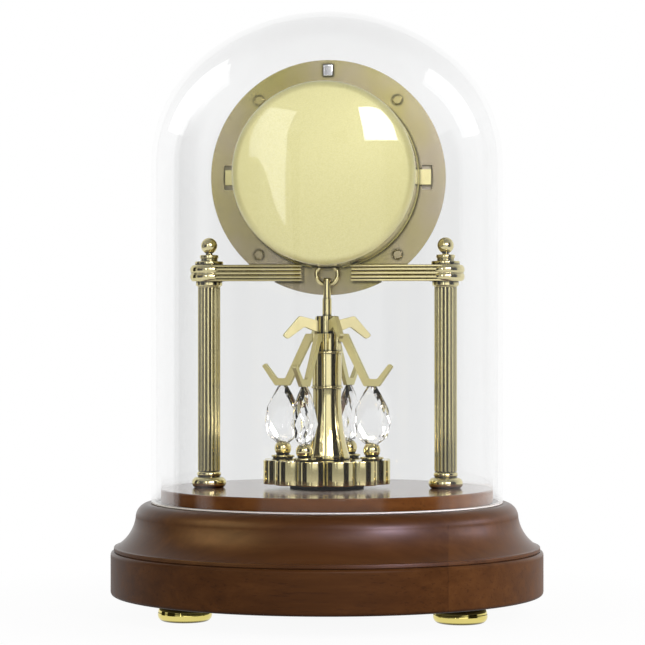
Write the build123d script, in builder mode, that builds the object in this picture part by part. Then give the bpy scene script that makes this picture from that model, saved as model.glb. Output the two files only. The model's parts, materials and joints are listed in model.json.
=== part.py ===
from build123d import *
import os
from math import atan2, cos, degrees, radians, sin, sqrt

os.makedirs("parts", exist_ok=True)

# A dome clock with a revolving pendulum. Millimetres, +Z up, origin on the floor under the middle.
# The dial looks along -Y, so the side with the pull-off cup looks along +Y.

# Fits shared by all pieces
overrun = 1.0
push_fit = 0.02
run_fit = 0.08
slip_gap = 0.3

# Turned wooden base
foot_radius = 13.0
foot_height = 10.0
foot_inset = 29.9
foot_collar_radius = 10.5
foot_collar_height = 2.2
foot_tread_radius = 9.0
foot_screw_radius = 2.0
foot_screw_length = 18.0
foot_screw_head_radius = 3.8
foot_screw_head_height = 3.0
plinth_overhang = 1.6
plinth_height = 21.0
plinth_edge = 2.2
pocket_radius = 7.0
pocket_depth = 6.0
moulding_height = 23.0
moulding_step_height = 2.1
moulding_step = 1.0
cove_run = 9.5
shoulder_run = 5.3
ledge_margin = 2.1
cove_height = 14.2
platform_gap = 2.4
platform_height = 7.0
platform_edge = 0.8
felt_radius = 18.0
felt_height = 0.8

# Glass dome
dome_room = 18.5
dome_wall = 2.5
dome_shoulder_rise = 5.1
dome_shoulder_inset = 17.5
dome_crown_flat = 11.0

# Columns with their feet, capitals, tie rods and finials
column_x = 57.7
column_radius = 5.5
column_length = 89.4
column_reeds = 16
reed_radius = 0.95
column_foot_radius = 8.4
column_foot_height = 5.3
column_ring_radius = 5.9
column_ring_height = 2.8
column_foot_round = 2.2
column_ring_round = 1.1
capital_radius = 6.5
capital_height = 2.2
capital_neck_radius = 5.7
capital_neck_height = 0.8
rod_radius = 2.0
nut_flange_radius = 5.4
nut_flange_height = 1.0
nut_radius = 4.0
nut_height = 2.4
finial_base_radius = 6.95
finial_base_height = 1.8
finial_step_radius = 4.2
finial_step_height = 1.5
finial_washer_radius = 4.6
finial_washer_height = 1.7
finial_neck_radius = 1.6
finial_ball_radius = 4.0
finial_ball_rise = 4.4
finial_edge = 0.35

# Reeded beams
beam_height = 8.0
beam_half_depth = 9.3
beam_inner_x = 12.0
beam_beads = 3
beam_lip = 1.1
beam_groove = 0.9
beam_bead_rise = 0.65
beam_waist = 0.8
block_edge = 1.1
block_groove = 0.5
beam_screw_x = 23.0
beam_screw_radius = 1.5
beam_screw_depth = 9.0
beam_screw_head_radius = 2.8

# Dial plate, dial, bezel and their fastenings
plate_drop = 10.5
ring_width = 13.8
plate_thickness = 2.0
dial_margin = 1.7
dial_thickness = 1.0
bezel_width = 8.7
bezel_height = 5.7
bezel_lip = 1.4
post_inset = 6.8
post_angle = 48.1
post_radius = 1.5
post_head_radius = 2.5
post_head_height = 1.0
clip_inset = 5.1
clip_width = 5.0
clip_length = 6.0
clip_height = 1.0
clip_tongue_width = 2.6
clip_tongue_thickness = 1.0
ear_slot_width = 5.0
ear_slot_length = 12.0
ear_offset = 4.7
nose_radius = 4.0
dial_nut_radius = 6.2
dial_nut_height = 1.8

# Pull-off cup over the movement
cup_room = 4.302
cup_depth = 43.8
cup_wall = 1.2
cup_edge = 4.5
cup_crown = 4.0
cup_slot_width = 14.4
cup_slot_depth = 14.0
cup_ear_width = 4.0
cup_ear_length = 7.5
cup_ear_thickness = 1.4

# Movement
battery_room = 5.5
case_depth = 20.0
case_wall = 1.6
case_corner = 3.0
lid_thickness = 1.6
battery_radius = 7.25
battery_length = 50.5
battery_button_radius = 2.7
battery_button_height = 1.2
battery_inset = 10.0
contact_thickness = 0.6
contact_side = 9.0
trough_wall = 1.2
trough_height = 14.2
board_width = 22.0
board_height = 15.0
board_thickness = 1.0
board_side_gap = 2.4
board_top_gap = 3.9
train_left = 6.0
coil_gap = 1.4
motor_gap = 3.9
train_gap = 5.0
train_depth = 9.2
train_leg_radius = 2.0
train_leg_inset = 2.6
coil_radius = 4.0
coil_end_room = 3.0
coil_core_radius = 1.4
coil_core_overhang = 2.0
motor_half_width = 9.0
motor_half_depth = 6.6
motor_height = 10.5

# Motion work: wheels between the hands, all turning about axes along Y
tooth_module = 0.5
cannon_teeth = 12
minute_teeth = 36
setting_teeth = 12
minute_pinion_teeth = 10
hour_teeth = 40
addendum_share = 0.85
dedendum_share = 1.15
tooth_root_share = 0.56
tooth_tip_share = 0.2
wheel_thickness = 1.0
pinion_thickness = 1.5
wheel_gap = 0.4
minute_pin_radius = 0.8
arbor_radius = 1.4
pivot_radius = 1.0
pivot_length = 3.0
hour_pipe_radius = 2.4
minute_wheel_angle = 180.0
setting_angle = 240.0
knob_radius = 6.0
knob_height = 6.0
knob_flutes = 12
knob_flute_radius = 0.9
hand_thickness = 0.6
hand_gap = 0.7
hour_hand_length = 27.0
minute_hand_length = 40.0
hour_hand_width = 4.2
minute_hand_width = 3.2
hand_tail = 8.0
hand_hub_radius = 3.8
widest_share = 0.3
hour_hand_angle = 305.0
minute_hand_angle = 60.0

# Eye under the movement and the hooked rod that hangs in it
eye_radius = 5.2
eye_wire_radius = 1.0
eye_hang = 3.9
eye_gap = 1.2
spindle_radius = 1.5
spindle_grip = 6.0
hang_radius = 1.9
hang_top_rise = 3.4
hang_length = 10.2
hang_hole_clearance = 0.15
lower_rod_radius = 2.25
lower_rod_length = 8.4
stud_length = 25.0

# Revolving pendulum
pendulum_angle = 67.0
arm_count = 4
plate_lobes = 12
lobe_shift = -5.0
pendulum_plate_radius = 31.6
cusp_depth = 3.6
pendulum_clearance = 2.2
pendulum_plate_height = 11.8
pendulum_plate_edge = 0.4
bell_foot_radius = 11.0
bell_neck_radius = 7.0
bell_foot_height = 1.6
drum_radius = 7.2
drum_height = 18.0
drum_collar_radius = 7.7
drum_collar_height = 1.0
hub_radius = 7.0
hub_height = 8.6
hub_neck_radius = 5.0
hub_neck_height = 8.6
hub_notches = 8
hub_notch_radius = 1.5
hub_notch_offset = 0.6
blade_thickness = 2.2
blade_seat_depth = 2.0
blade_seat_clearance = 0.05
hanger_overreach = 11.2
hanger_drop = 25.5
hanger_tab = 4.1
wing_reach = 22.6
wing_rise = 8.6
blade_round = 0.6
bolt_radius = 2.0
bolt_head_radius = 4.4
bolt_head_height = 3.0
bolt_gap = 2.0
seat_inset = 7.4
crystal_room = 14.2
crystal_thickness = 8.0
crystal_foot_drop = 1.4
seat_ball_radius = 4.15
seat_washer_radius = 5.2
seat_washer_height = 1.3
seat_ball_sink = 0.7

# Radii, heights and depths that follow from the sizes above
dome_radius = column_x + beam_half_depth + dome_room
dome_inner_radius = dome_radius - dome_wall
dome_crown = dome_radius - dome_crown_flat
dome_shoulder_radius = dome_radius - dome_shoulder_inset
platform_radius = dome_inner_radius - platform_gap
moulding_top_radius = dome_radius + ledge_margin
moulding_waist_radius = moulding_top_radius + shoulder_run
moulding_foot_radius = moulding_waist_radius + cove_run
moulding_step_radius = moulding_foot_radius + moulding_step
plinth_radius = moulding_step_radius + plinth_overhang
foot_circle = plinth_radius - foot_inset
case_side = battery_length + battery_room
case_inner = case_side / 2 - case_wall
battery_rise = case_side / 2 - battery_inset
board_x = case_inner - board_side_gap - board_width / 2
board_drop = case_inner - board_top_gap - board_height / 2
train_right = case_inner - coil_gap - 2 * coil_radius
train_half_height = case_inner - motor_height - motor_gap
coil_length = 2 * (train_half_height - coil_end_room)
cup_radius = case_side / sqrt(2) + cup_room
ear_slot_middle = cup_radius + ear_offset
plate_radius = cup_radius + ring_width
dial_radius = plate_radius - dial_margin
bezel_inner_radius = plate_radius - bezel_width
clip_radius = plate_radius - clip_inset
post_x = (plate_radius - post_inset) * cos(radians(post_angle))
post_z = (plate_radius - post_inset) * sin(radians(post_angle))
pendulum_cusp_radius = pendulum_plate_radius - cusp_depth
crystal_circle = pendulum_plate_radius - seat_inset
crystal_width = 2 * (crystal_circle - crystal_room)
hanger_reach = crystal_circle + hanger_overreach
plinth_z = foot_height
moulding_z = plinth_z + plinth_height
ledge_z = moulding_z + moulding_height
platform_z = ledge_z + platform_height
column_foot_z = platform_z
column_z = column_foot_z + column_foot_height + column_ring_height
capital_z = column_z + column_length
beam_z = capital_z + capital_neck_height + capital_height
beam_top_z = beam_z + beam_height
finial_ball_z = (beam_top_z + finial_base_height + finial_step_height
                 + finial_washer_height + finial_ball_rise)
nut_top_z = plinth_z + pocket_depth
rod_bottom_z = nut_top_z - nut_flange_height - nut_height
rod_top_z = beam_top_z + finial_base_height + finial_step_height
plate_back_y = beam_waist - beam_half_depth
plate_front_y = plate_back_y - plate_thickness
dial_front_y = plate_front_y - dial_thickness
case_back_y = plate_back_y + case_depth
lid_back_y = case_back_y + lid_thickness
wall_inner_y = plate_back_y + case_wall
screw_z = beam_z + beam_height / 2
dial_z = screw_z + plate_radius - plate_drop
crown_z = dial_z + dome_shoulder_rise
eye_z = dial_z - cup_radius - eye_hang
sides = {"left": 1, "right": -1}


def keep(builder, name):
    """Label a finished piece and write it to its own file."""
    builder.part.label = name
    export_step(builder.part, f"parts/{name}.step")


def upright(x=0, y=0):
    """The plane of a turned profile: its x is the radius from (x, y), its y is the height."""
    return Plane(origin=(x, y, 0), x_dir=(1, 0, 0), z_dir=(0, -1, 0))


def turning_axis(x=0, y=0):
    """The vertical axis through (x, y)."""
    return Axis((x, y, 0), (0, 0, 1))


def front(y, x=0, z=dial_z):
    """A plane at depth y that looks out of the dial, centred on the dial or on (x, z)."""
    return Plane(origin=(x, y, z), x_dir=(1, 0, 0), z_dir=(0, -1, 0))


def radial(azimuth):
    """The upright plane through the vertical axis at an azimuth in degrees."""
    turn = radians(azimuth)
    return Plane(origin=(0, 0, 0), x_dir=(cos(turn), sin(turn), 0), z_dir=(sin(turn), -cos(turn), 0))


def steps_profile(rings, start_z, bore=0):
    """Outline of stacked cylinders, given as (radius, height) from the bottom, around a bore."""
    points = [(bore, start_z)]
    height = start_z
    for radius, rise in rings:
        points.append((radius, height))
        height += rise
        points.append((radius, height))
    points.append((bore, height))
    Polyline(*points, close=True)


# Feet: turned brass buns, each screwed to the plinth from below
foot_places = [(foot_circle * cos(radians(azimuth)), foot_circle * sin(radians(azimuth)))
               for azimuth in (150, 30, 270)]
bun_top = foot_height - foot_collar_height
for number, (foot_x, foot_y) in enumerate(foot_places, start=1):
    with BuildPart() as foot:
        with BuildSketch(upright(foot_x, foot_y)):
            with BuildLine():
                Line((0, 0), (foot_tread_radius, 0))
                ThreePointArc((foot_tread_radius, 0), (foot_radius, bun_top / 2),
                              (foot_collar_radius, bun_top))
                Line((foot_collar_radius, bun_top), (foot_collar_radius, foot_height))
                Line((foot_collar_radius, foot_height), (0, foot_height))
                Line((0, foot_height), (0, 0))
            make_face()
        revolve(axis=turning_axis(foot_x, foot_y))
        with Locations((foot_x, foot_y, 0)):
            Cylinder(foot_screw_radius + push_fit, foot_height,
                     align=(Align.CENTER, Align.CENTER, Align.MIN), mode=Mode.SUBTRACT)
            Cylinder(foot_screw_head_radius + slip_gap, foot_screw_head_height,
                     align=(Align.CENTER, Align.CENTER, Align.MIN), mode=Mode.SUBTRACT)
    keep(foot, f"foot_{number}")

with BuildPart() as foot_screws:
    for foot_x, foot_y in foot_places:
        with BuildSketch(upright(foot_x, foot_y)):
            with BuildLine():
                steps_profile([(foot_screw_head_radius, foot_screw_head_height / 2),
                               (foot_screw_radius, foot_screw_length)], foot_screw_head_height / 2)
            make_face()
        revolve(axis=turning_axis(foot_x, foot_y))
keep(foot_screws, "foot_screws")
foot_screw_top = foot_screw_head_height + foot_screw_length

# Wooden base: a plain band, an ogee moulding and a raised platform, all drilled for the tie rods.
# The band has a pocket below for each tie rod's nut
rod_places = [(side * column_x, 0) for side in sides.values()]
with BuildPart() as base_plinth:
    with BuildSketch(Plane.XY.offset(plinth_z)):
        Circle(plinth_radius)
    extrude(amount=plinth_height)
    fillet(base_plinth.faces().sort_by(Axis.Z)[0].edges(), plinth_edge)
    fillet(base_plinth.faces().sort_by(Axis.Z)[-1].edges(), plinth_edge / 2)
    with BuildSketch(Plane.XY.offset(plinth_z)):
        with Locations(*rod_places):
            Circle(pocket_radius)
    extrude(amount=pocket_depth, mode=Mode.SUBTRACT)
    with BuildSketch(Plane.XY.offset(plinth_z)):
        with Locations(*rod_places):
            Circle(rod_radius + slip_gap)
    extrude(amount=plinth_height, mode=Mode.SUBTRACT)
    with BuildSketch(Plane.XY.offset(plinth_z)):
        with Locations(*foot_places):
            Circle(foot_screw_radius + push_fit)
    extrude(amount=foot_screw_top - plinth_z, mode=Mode.SUBTRACT)
keep(base_plinth, "base_plinth")

cove_z = moulding_z + moulding_step_height
waist_z = cove_z + cove_height
cove_share = 0.62
shoulder_share = 0.32
with BuildPart() as base_moulding:
    with BuildSketch(upright()):
        with BuildLine():
            Polyline((0, moulding_z), (moulding_step_radius, moulding_z),
                     (moulding_step_radius, cove_z), (moulding_foot_radius, cove_z))
            ThreePointArc((moulding_foot_radius, cove_z),
                          (moulding_foot_radius - cove_run * cove_share,
                           cove_z + cove_height * (1 - cove_share)),
                          (moulding_waist_radius, waist_z))
            ThreePointArc((moulding_waist_radius, waist_z),
                          (moulding_waist_radius - shoulder_run * shoulder_share,
                           ledge_z - (ledge_z - waist_z) * shoulder_share),
                          (moulding_top_radius, ledge_z))
            Polyline((moulding_top_radius, ledge_z), (0, ledge_z), (0, moulding_z))
        make_face()
    revolve(axis=Axis.Z)
    with BuildSketch(Plane.XY.offset(moulding_z)):
        with Locations(*rod_places):
            Circle(rod_radius + slip_gap)
    extrude(amount=moulding_height, mode=Mode.SUBTRACT)
keep(base_moulding, "base_moulding")

with BuildPart() as platform:
    with BuildSketch(Plane.XY.offset(ledge_z)):
        Circle(platform_radius)
        with Locations(*rod_places):
            Circle(rod_radius + slip_gap, mode=Mode.SUBTRACT)
    extrude(amount=platform_height)
    fillet(platform.edges().filter_by(GeomType.CIRCLE).group_by(Axis.Z)[-1].sort_by(SortBy.RADIUS)[-1],
           platform_edge)
keep(platform, "platform")

with BuildPart() as felt_pad:
    with BuildSketch(Plane.XY.offset(platform_z)):
        Circle(felt_radius)
    extrude(amount=felt_height)
keep(felt_pad, "felt_pad")

# Glass dome: a straight cylinder, a round shoulder and a flatter crown, each tangent to the next
shoulder_x = dome_radius - dome_shoulder_radius
shoulder_rest = dome_crown - dome_shoulder_radius
crown_drop = (shoulder_x ** 2 - shoulder_rest ** 2) / (2 * shoulder_rest)
crown_radius = dome_crown + crown_drop
shoulder_turn = degrees(atan2(crown_drop, shoulder_x))
with BuildPart() as dome:
    with BuildSketch(upright()):
        with BuildLine():
            for inset in (0, dome_wall):
                Line((dome_radius - inset, ledge_z), (dome_radius - inset, crown_z))
                CenterArc((shoulder_x, crown_z), dome_shoulder_radius - inset, 0, shoulder_turn)
                CenterArc((0, crown_z - crown_drop), crown_radius - inset, shoulder_turn, 90 - shoulder_turn)
            Line((dome_radius - dome_wall, ledge_z), (dome_radius, ledge_z))
            Line((0, crown_z + dome_crown - dome_wall), (0, crown_z + dome_crown))
        make_face()
    revolve(axis=Axis.Z)
keep(dome, "dome")

# Columns: reeded tubes on turned feet, with capitals, held by tie rods between nut and finial
reed_circle = column_radius - reed_radius
for side_name, side in sides.items():
    x = side * column_x
    with BuildPart() as column_foot:
        with BuildSketch(upright(x)):
            with BuildLine():
                steps_profile([(column_foot_radius, column_foot_height),
                               (column_ring_radius, column_ring_height)],
                              column_foot_z, rod_radius + slip_gap)
            make_face()
        revolve(axis=turning_axis(x))
        rims = column_foot.edges().filter_by(GeomType.CIRCLE)
        fillet(rims.filter_by(lambda edge: edge.radius > column_foot_radius - slip_gap), column_foot_round)
        ring_rims = column_foot.edges().filter_by(GeomType.CIRCLE).group_by(Axis.Z)[-1]
        fillet(ring_rims.sort_by(SortBy.RADIUS)[-1], column_ring_round)
    keep(column_foot, f"column_foot_{side_name}")

    with BuildPart() as column:
        with BuildSketch(Plane.XY.offset(column_z)):
            with Locations((x, 0)):
                Circle(reed_circle)
                with PolarLocations(reed_circle, column_reeds):
                    Circle(reed_radius)
                Circle(rod_radius + slip_gap, mode=Mode.SUBTRACT)
        extrude(amount=column_length)
    keep(column, f"column_{side_name}")

    with BuildPart() as capital:
        with BuildSketch(upright(x)):
            with BuildLine():
                steps_profile([(capital_neck_radius, capital_neck_height),
                               (capital_radius, capital_height)], capital_z, rod_radius + slip_gap)
            make_face()
        revolve(axis=turning_axis(x))
        fillet(capital.edges().filter_by(GeomType.CIRCLE).filter_by(
            lambda edge: edge.radius > capital_neck_radius + push_fit), finial_edge)
    keep(capital, f"capital_{side_name}")

    with BuildPart() as tie_rod:
        with BuildSketch(Plane.XY.offset(rod_bottom_z)):
            with Locations((x, 0)):
                Circle(rod_radius)
        extrude(amount=rod_top_z - rod_bottom_z)
    keep(tie_rod, f"tie_rod_{side_name}")

    with BuildPart() as finial:
        with BuildSketch(upright(x)):
            with BuildLine():
                steps_profile([(finial_base_radius, finial_base_height),
                               (finial_step_radius, finial_step_height),
                               (finial_washer_radius, finial_washer_height),
                               (finial_neck_radius, finial_ball_rise)], beam_top_z)
            make_face()
        revolve(axis=turning_axis(x))
        fillet(finial.edges().filter_by(GeomType.CIRCLE).filter_by(
            lambda edge: edge.radius > finial_step_radius + push_fit), finial_edge)
        with Locations((x, 0, finial_ball_z)):
            Sphere(finial_ball_radius)
        with BuildSketch(Plane.XY.offset(beam_top_z)):
            with Locations((x, 0)):
                Circle(rod_radius + push_fit)
        extrude(amount=rod_top_z - beam_top_z, mode=Mode.SUBTRACT)
    keep(finial, f"finial_{side_name}")

with BuildPart() as tie_nuts:
    with BuildSketch(Plane.XY.offset(nut_top_z - nut_flange_height)):
        with Locations(*rod_places):
            Circle(nut_flange_radius)
            Circle(rod_radius + push_fit, mode=Mode.SUBTRACT)
    extrude(amount=nut_flange_height)
    with BuildSketch(Plane.XY.offset(rod_bottom_z)):
        with Locations(*rod_places):
            RegularPolygon(nut_radius, 6)
            Circle(rod_radius + push_fit, mode=Mode.SUBTRACT)
    extrude(amount=nut_height)
keep(tie_nuts, "tie_nuts")


def beam_outline(reach):
    """Half section of a beam: lips above and below, and beads between them on a recessed panel."""
    panel = reach - beam_groove
    bead = (beam_height - 2 * beam_lip) / beam_beads
    corner = beam_lip / 2
    Line((0, beam_z), (reach - corner, beam_z))
    RadiusArc((reach - corner, beam_z), (reach, beam_z + corner), -corner)
    Polyline((reach, beam_z + corner), (reach, beam_z + beam_lip), (panel, beam_z + beam_lip))
    for number in range(beam_beads):
        low = beam_z + beam_lip + number * bead
        ThreePointArc((panel, low), (panel + beam_bead_rise, low + bead / 2), (panel, low + bead))
    Polyline((panel, beam_top_z - beam_lip), (reach, beam_top_z - beam_lip), (reach, beam_top_z - corner))
    RadiusArc((reach, beam_top_z - corner), (reach - corner, beam_top_z), -corner)
    Polyline((reach - corner, beam_top_z), (0, beam_top_z), (0, beam_z))


def block_outline(reach):
    """Half section of a beam's round end: two full beads with a groove between them."""
    Line((0, beam_z), (reach - block_edge, beam_z))
    ThreePointArc((reach - block_edge, beam_z), (reach, beam_z + beam_height / 4),
                  (reach - block_groove, screw_z))
    ThreePointArc((reach - block_groove, screw_z), (reach, beam_top_z - beam_height / 4),
                  (reach - block_edge, beam_top_z))
    Polyline((reach - block_edge, beam_top_z), (0, beam_top_z), (0, beam_z))


# Beams: a straight reeded bar that ends in a round block on the column's axis
for side_name, side in sides.items():
    x = side * column_x
    with BuildPart() as beam:
        with BuildSketch(upright(x)):
            with BuildLine():
                block_outline(beam_half_depth)
            make_face()
        revolve(axis=turning_axis(x))
        span = Plane(origin=(side * beam_inner_x, 0, 0), x_dir=(0, side, 0), z_dir=(side, 0, 0))
        with BuildSketch(span):
            with BuildLine():
                beam_outline(beam_half_depth - beam_waist)
            make_face()
            mirror(about=Plane.YZ)
        extrude(amount=column_x - beam_inner_x)
        with BuildSketch(Plane.XY.offset(beam_z)):
            with Locations((x, 0)):
                Circle(rod_radius + slip_gap)
        extrude(amount=beam_height, mode=Mode.SUBTRACT)
        with BuildSketch(front(plate_back_y, side * beam_screw_x, screw_z)):
            Circle(beam_screw_radius + push_fit)
        extrude(amount=-(beam_screw_depth + overrun), mode=Mode.SUBTRACT)
    keep(beam, f"beam_{side_name}")

# Dial plate: a disc with the cup's ear slots, on the beams' dial side; screws and posts pass through it
post_places = [(x_sign * post_x, z_sign * post_z) for x_sign in (1, -1) for z_sign in (1, -1)]
screw_places = [(side * beam_screw_x, screw_z - dial_z) for side in sides.values()]
clip_place = (0, clip_radius)
with BuildPart() as dial_plate:
    with BuildSketch(front(plate_back_y)):
        Circle(plate_radius)
        Circle(nose_radius + push_fit, mode=Mode.SUBTRACT)
        with Locations((ear_slot_middle, 0), (-ear_slot_middle, 0)):
            Rectangle(ear_slot_width, ear_slot_length, mode=Mode.SUBTRACT)
        with Locations(*post_places):
            Circle(post_radius + push_fit, mode=Mode.SUBTRACT)
        with Locations(clip_place):
            Rectangle(clip_tongue_width + push_fit, clip_tongue_thickness + push_fit, mode=Mode.SUBTRACT)
    extrude(amount=plate_thickness)
    for place_x, place_z in screw_places:
        with BuildSketch(front(plate_back_y, place_x, dial_z + place_z)):
            Circle(beam_screw_radius + push_fit)
        with BuildSketch(front(plate_front_y, place_x, dial_z + place_z)):
            Circle(beam_screw_head_radius + push_fit)
        loft(mode=Mode.SUBTRACT)
keep(dial_plate, "dial_plate")

with BuildPart() as beam_screws:
    for place_x, place_z in screw_places:
        with BuildSketch(front(plate_back_y, place_x, dial_z + place_z)):
            Circle(beam_screw_radius)
        with BuildSketch(front(plate_front_y, place_x, dial_z + place_z)):
            Circle(beam_screw_head_radius)
        loft()
        with BuildSketch(front(plate_back_y, place_x, dial_z + place_z)):
            Circle(beam_screw_radius)
        extrude(amount=-beam_screw_depth)
keep(beam_screws, "beam_screws")

with BuildPart() as dial_face:
    with BuildSketch(front(plate_front_y)):
        Circle(dial_radius)
        Circle(nose_radius + push_fit, mode=Mode.SUBTRACT)
        with Locations(*post_places):
            Circle(post_radius + push_fit, mode=Mode.SUBTRACT)
        with Locations(clip_place):
            Rectangle(clip_tongue_width + push_fit, clip_tongue_thickness + push_fit, mode=Mode.SUBTRACT)
    extrude(amount=dial_thickness)
keep(dial_face, "dial_face")

with BuildPart() as dial_posts:
    with BuildSketch(front(plate_back_y)):
        with Locations(*post_places):
            Circle(post_head_radius)
    extrude(amount=-post_head_height)
    fillet(dial_posts.faces().group_by(Axis.Y)[-1].edges(), post_head_height / 2)
    with BuildSketch(front(plate_back_y)):
        with Locations(*post_places):
            Circle(post_radius)
    extrude(amount=plate_thickness + dial_thickness)
keep(dial_posts, "dial_posts")

# Bezel: a turned ring over the dial's rim, highest outside and sloping in to a thin lip
bezel_crest_share = 0.45
bezel_crest = bezel_inner_radius + (plate_radius - bezel_inner_radius) * bezel_crest_share
dial_axis = Axis((0, 0, dial_z), (0, -1, 0))
with BuildPart() as bezel:
    with BuildSketch(Plane(origin=(0, dial_front_y, dial_z), x_dir=(1, 0, 0), z_dir=(0, 0, 1))):
        with BuildLine():
            Polyline((bezel_crest, -bezel_height), (bezel_inner_radius, -bezel_lip), (bezel_inner_radius, 0),
                     (plate_radius, 0), (plate_radius, -bezel_lip))
            ThreePointArc((plate_radius, -bezel_lip),
                          ((plate_radius + bezel_crest + bezel_lip) / 2, -bezel_height + bezel_lip / 2),
                          (bezel_crest, -bezel_height))
        make_face()
    revolve(axis=dial_axis)
keep(bezel, "bezel")

with BuildPart() as bezel_clip:
    with BuildSketch(front(plate_back_y)):
        with Locations(clip_place):
            Rectangle(clip_width, clip_length)
    extrude(amount=-clip_height)
    with BuildSketch(front(plate_back_y)):
        with Locations(clip_place):
            Rectangle(clip_tongue_width, clip_tongue_thickness)
    extrude(amount=plate_thickness + dial_thickness)
keep(bezel_clip, "bezel_clip")

with BuildPart() as dial_nut:
    with BuildSketch(front(dial_front_y)):
        RegularPolygon(dial_nut_radius, 6)
        Circle(nose_radius + push_fit, mode=Mode.SUBTRACT)
    extrude(amount=dial_nut_height)
keep(dial_nut, "dial_nut")

# Pull-off cup: a drawn shell with a crowned back, two ears for the plate's slots and a slot for the eye
cap_radius = (cup_radius ** 2 + cup_crown ** 2) / (2 * cup_crown)
cap_middle = cup_depth - cap_radius
cup_corner = cap_middle + sqrt((cap_radius - cup_edge) ** 2 - (cup_radius - cup_edge) ** 2)
cap_turn = degrees(atan2(cup_corner - cap_middle, cup_radius - cup_edge))
with BuildPart() as rear_cup:
    with BuildSketch(Plane(origin=(0, plate_back_y, dial_z), x_dir=(1, 0, 0), z_dir=(0, 0, 1))):
        with BuildLine():
            for inset in (0, cup_wall):
                Line((cup_radius - inset, 0), (cup_radius - inset, cup_corner))
                CenterArc((cup_radius - cup_edge, cup_corner), cup_edge - inset, 0, cap_turn)
                CenterArc((0, cap_middle), cap_radius - inset, cap_turn, 90 - cap_turn)
            Line((cup_radius - cup_wall, 0), (cup_radius, 0))
            Line((0, cup_depth - cup_wall), (0, cup_depth))
        make_face()
    revolve(axis=dial_axis)
    ear_reach = ear_slot_middle + cup_ear_width / 2
    for x_sign in sides.values():
        with BuildSketch(front(plate_back_y)):
            with Locations((x_sign * (cup_radius - cup_wall / 2 + ear_reach) / 2, 0)):
                Rectangle(ear_reach - cup_radius + cup_wall / 2, cup_ear_length)
        extrude(amount=-cup_ear_thickness)
        with BuildSketch(front(plate_back_y)):
            with Locations((x_sign * ear_slot_middle, 0)):
                Rectangle(cup_ear_width, cup_ear_length)
        extrude(amount=plate_thickness - run_fit)
    with BuildSketch(front(plate_back_y)):
        with Locations((0, -cup_radius)):
            Rectangle(cup_slot_width, 2 * cup_edge)
    extrude(amount=-cup_slot_depth, mode=Mode.SUBTRACT)
keep(rear_cup, "rear_cup")


def toothed(teeth, module, phase):
    """Outline of a wheel with straight-sided teeth, one of them centred on the phase angle."""
    pitch_radius = module * teeth / 2
    tip = pitch_radius + module * addendum_share
    root = pitch_radius - module * dedendum_share
    half_pitch = 180 / teeth
    points = []
    for number in range(teeth):
        middle = phase + 2 * half_pitch * number
        for radius, spread in ((root, -tooth_root_share), (tip, -tooth_tip_share),
                               (tip, tooth_tip_share), (root, tooth_root_share)):
            turn = radians(middle + spread * half_pitch)
            points.append((radius * cos(turn), radius * sin(turn)))
    Polyline(*points, close=True)


# Motion work places: the minute wheel beside the centre, the setting pinion beside the minute wheel
mesh_distance = tooth_module * (cannon_teeth + minute_teeth) / 2
setting_distance = tooth_module * (setting_teeth + minute_teeth) / 2
pinion_module = 2 * mesh_distance / (minute_pinion_teeth + hour_teeth)
minute_x = mesh_distance * cos(radians(minute_wheel_angle))
minute_z = dial_z + mesh_distance * sin(radians(minute_wheel_angle))
setting_x = minute_x + setting_distance * cos(radians(setting_angle))
setting_z = minute_z + setting_distance * sin(radians(setting_angle))
hour_wheel_y = wall_inner_y + slip_gap
minute_wheel_y = hour_wheel_y + wheel_thickness + wheel_gap
work_end_y = minute_wheel_y + pinion_thickness
train_y = wall_inner_y + train_gap
nose_front_y = dial_front_y - dial_nut_height - slip_gap
hour_hand_y = nose_front_y - slip_gap - hand_thickness
minute_hand_y = hour_hand_y - hand_gap - hand_thickness
arbor_bore = arbor_radius + run_fit

# Movement case: a tray against the dial plate, with the nose through the dial and the wheel posts
with BuildPart() as movement_case:
    with BuildSketch(front(plate_back_y)):
        RectangleRounded(case_side, case_side, case_corner)
    extrude(amount=-case_depth)
    with BuildSketch(front(wall_inner_y)):
        RectangleRounded(case_side - 2 * case_wall, case_side - 2 * case_wall, case_corner - case_wall)
    extrude(amount=-case_depth, mode=Mode.SUBTRACT)
    with BuildSketch(front(plate_back_y)):
        Circle(nose_radius)
    extrude(amount=plate_back_y - nose_front_y)
    with BuildSketch(front(wall_inner_y)):
        Circle(hour_pipe_radius + run_fit)
    extrude(amount=wall_inner_y - nose_front_y, mode=Mode.SUBTRACT)
    with BuildSketch(front(wall_inner_y, minute_x, minute_z)):
        Circle(minute_pin_radius)
    extrude(amount=wall_inner_y - work_end_y - slip_gap)
    with BuildSketch(front(wall_inner_y)):
        with Locations((train_right - train_leg_inset, train_half_height - train_leg_inset),
                       (train_right - train_leg_inset, train_leg_inset - train_half_height)):
            Circle(train_leg_radius)
    extrude(amount=-train_gap)
    with BuildSketch(Plane.XY.offset(dial_z - case_side / 2)):
        Circle(spindle_radius + run_fit)
    extrude(amount=case_wall, mode=Mode.SUBTRACT)
keep(movement_case, "movement_case")

# Movement lid: closes the tray and carries the open battery trough
trough_half = battery_length / 2 + contact_thickness
battery_z = dial_z + battery_rise
battery_y = lid_back_y + battery_radius
trough_inner_half = battery_radius + slip_gap
with BuildPart() as movement_lid:
    with BuildSketch(front(case_back_y)):
        RectangleRounded(case_side, case_side, case_corner)
    extrude(amount=-lid_thickness)
    with BuildSketch(front(lid_back_y, 0, battery_z)):
        Rectangle(2 * (trough_half + trough_wall), 2 * (trough_inner_half + trough_wall))
        Rectangle(2 * trough_half, 2 * trough_inner_half, mode=Mode.SUBTRACT)
    extrude(amount=-trough_height)
    with BuildSketch(front(case_back_y, setting_x, setting_z)):
        Circle(pivot_radius + run_fit)
    extrude(amount=-lid_thickness, mode=Mode.SUBTRACT)
keep(movement_lid, "movement_lid")

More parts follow.
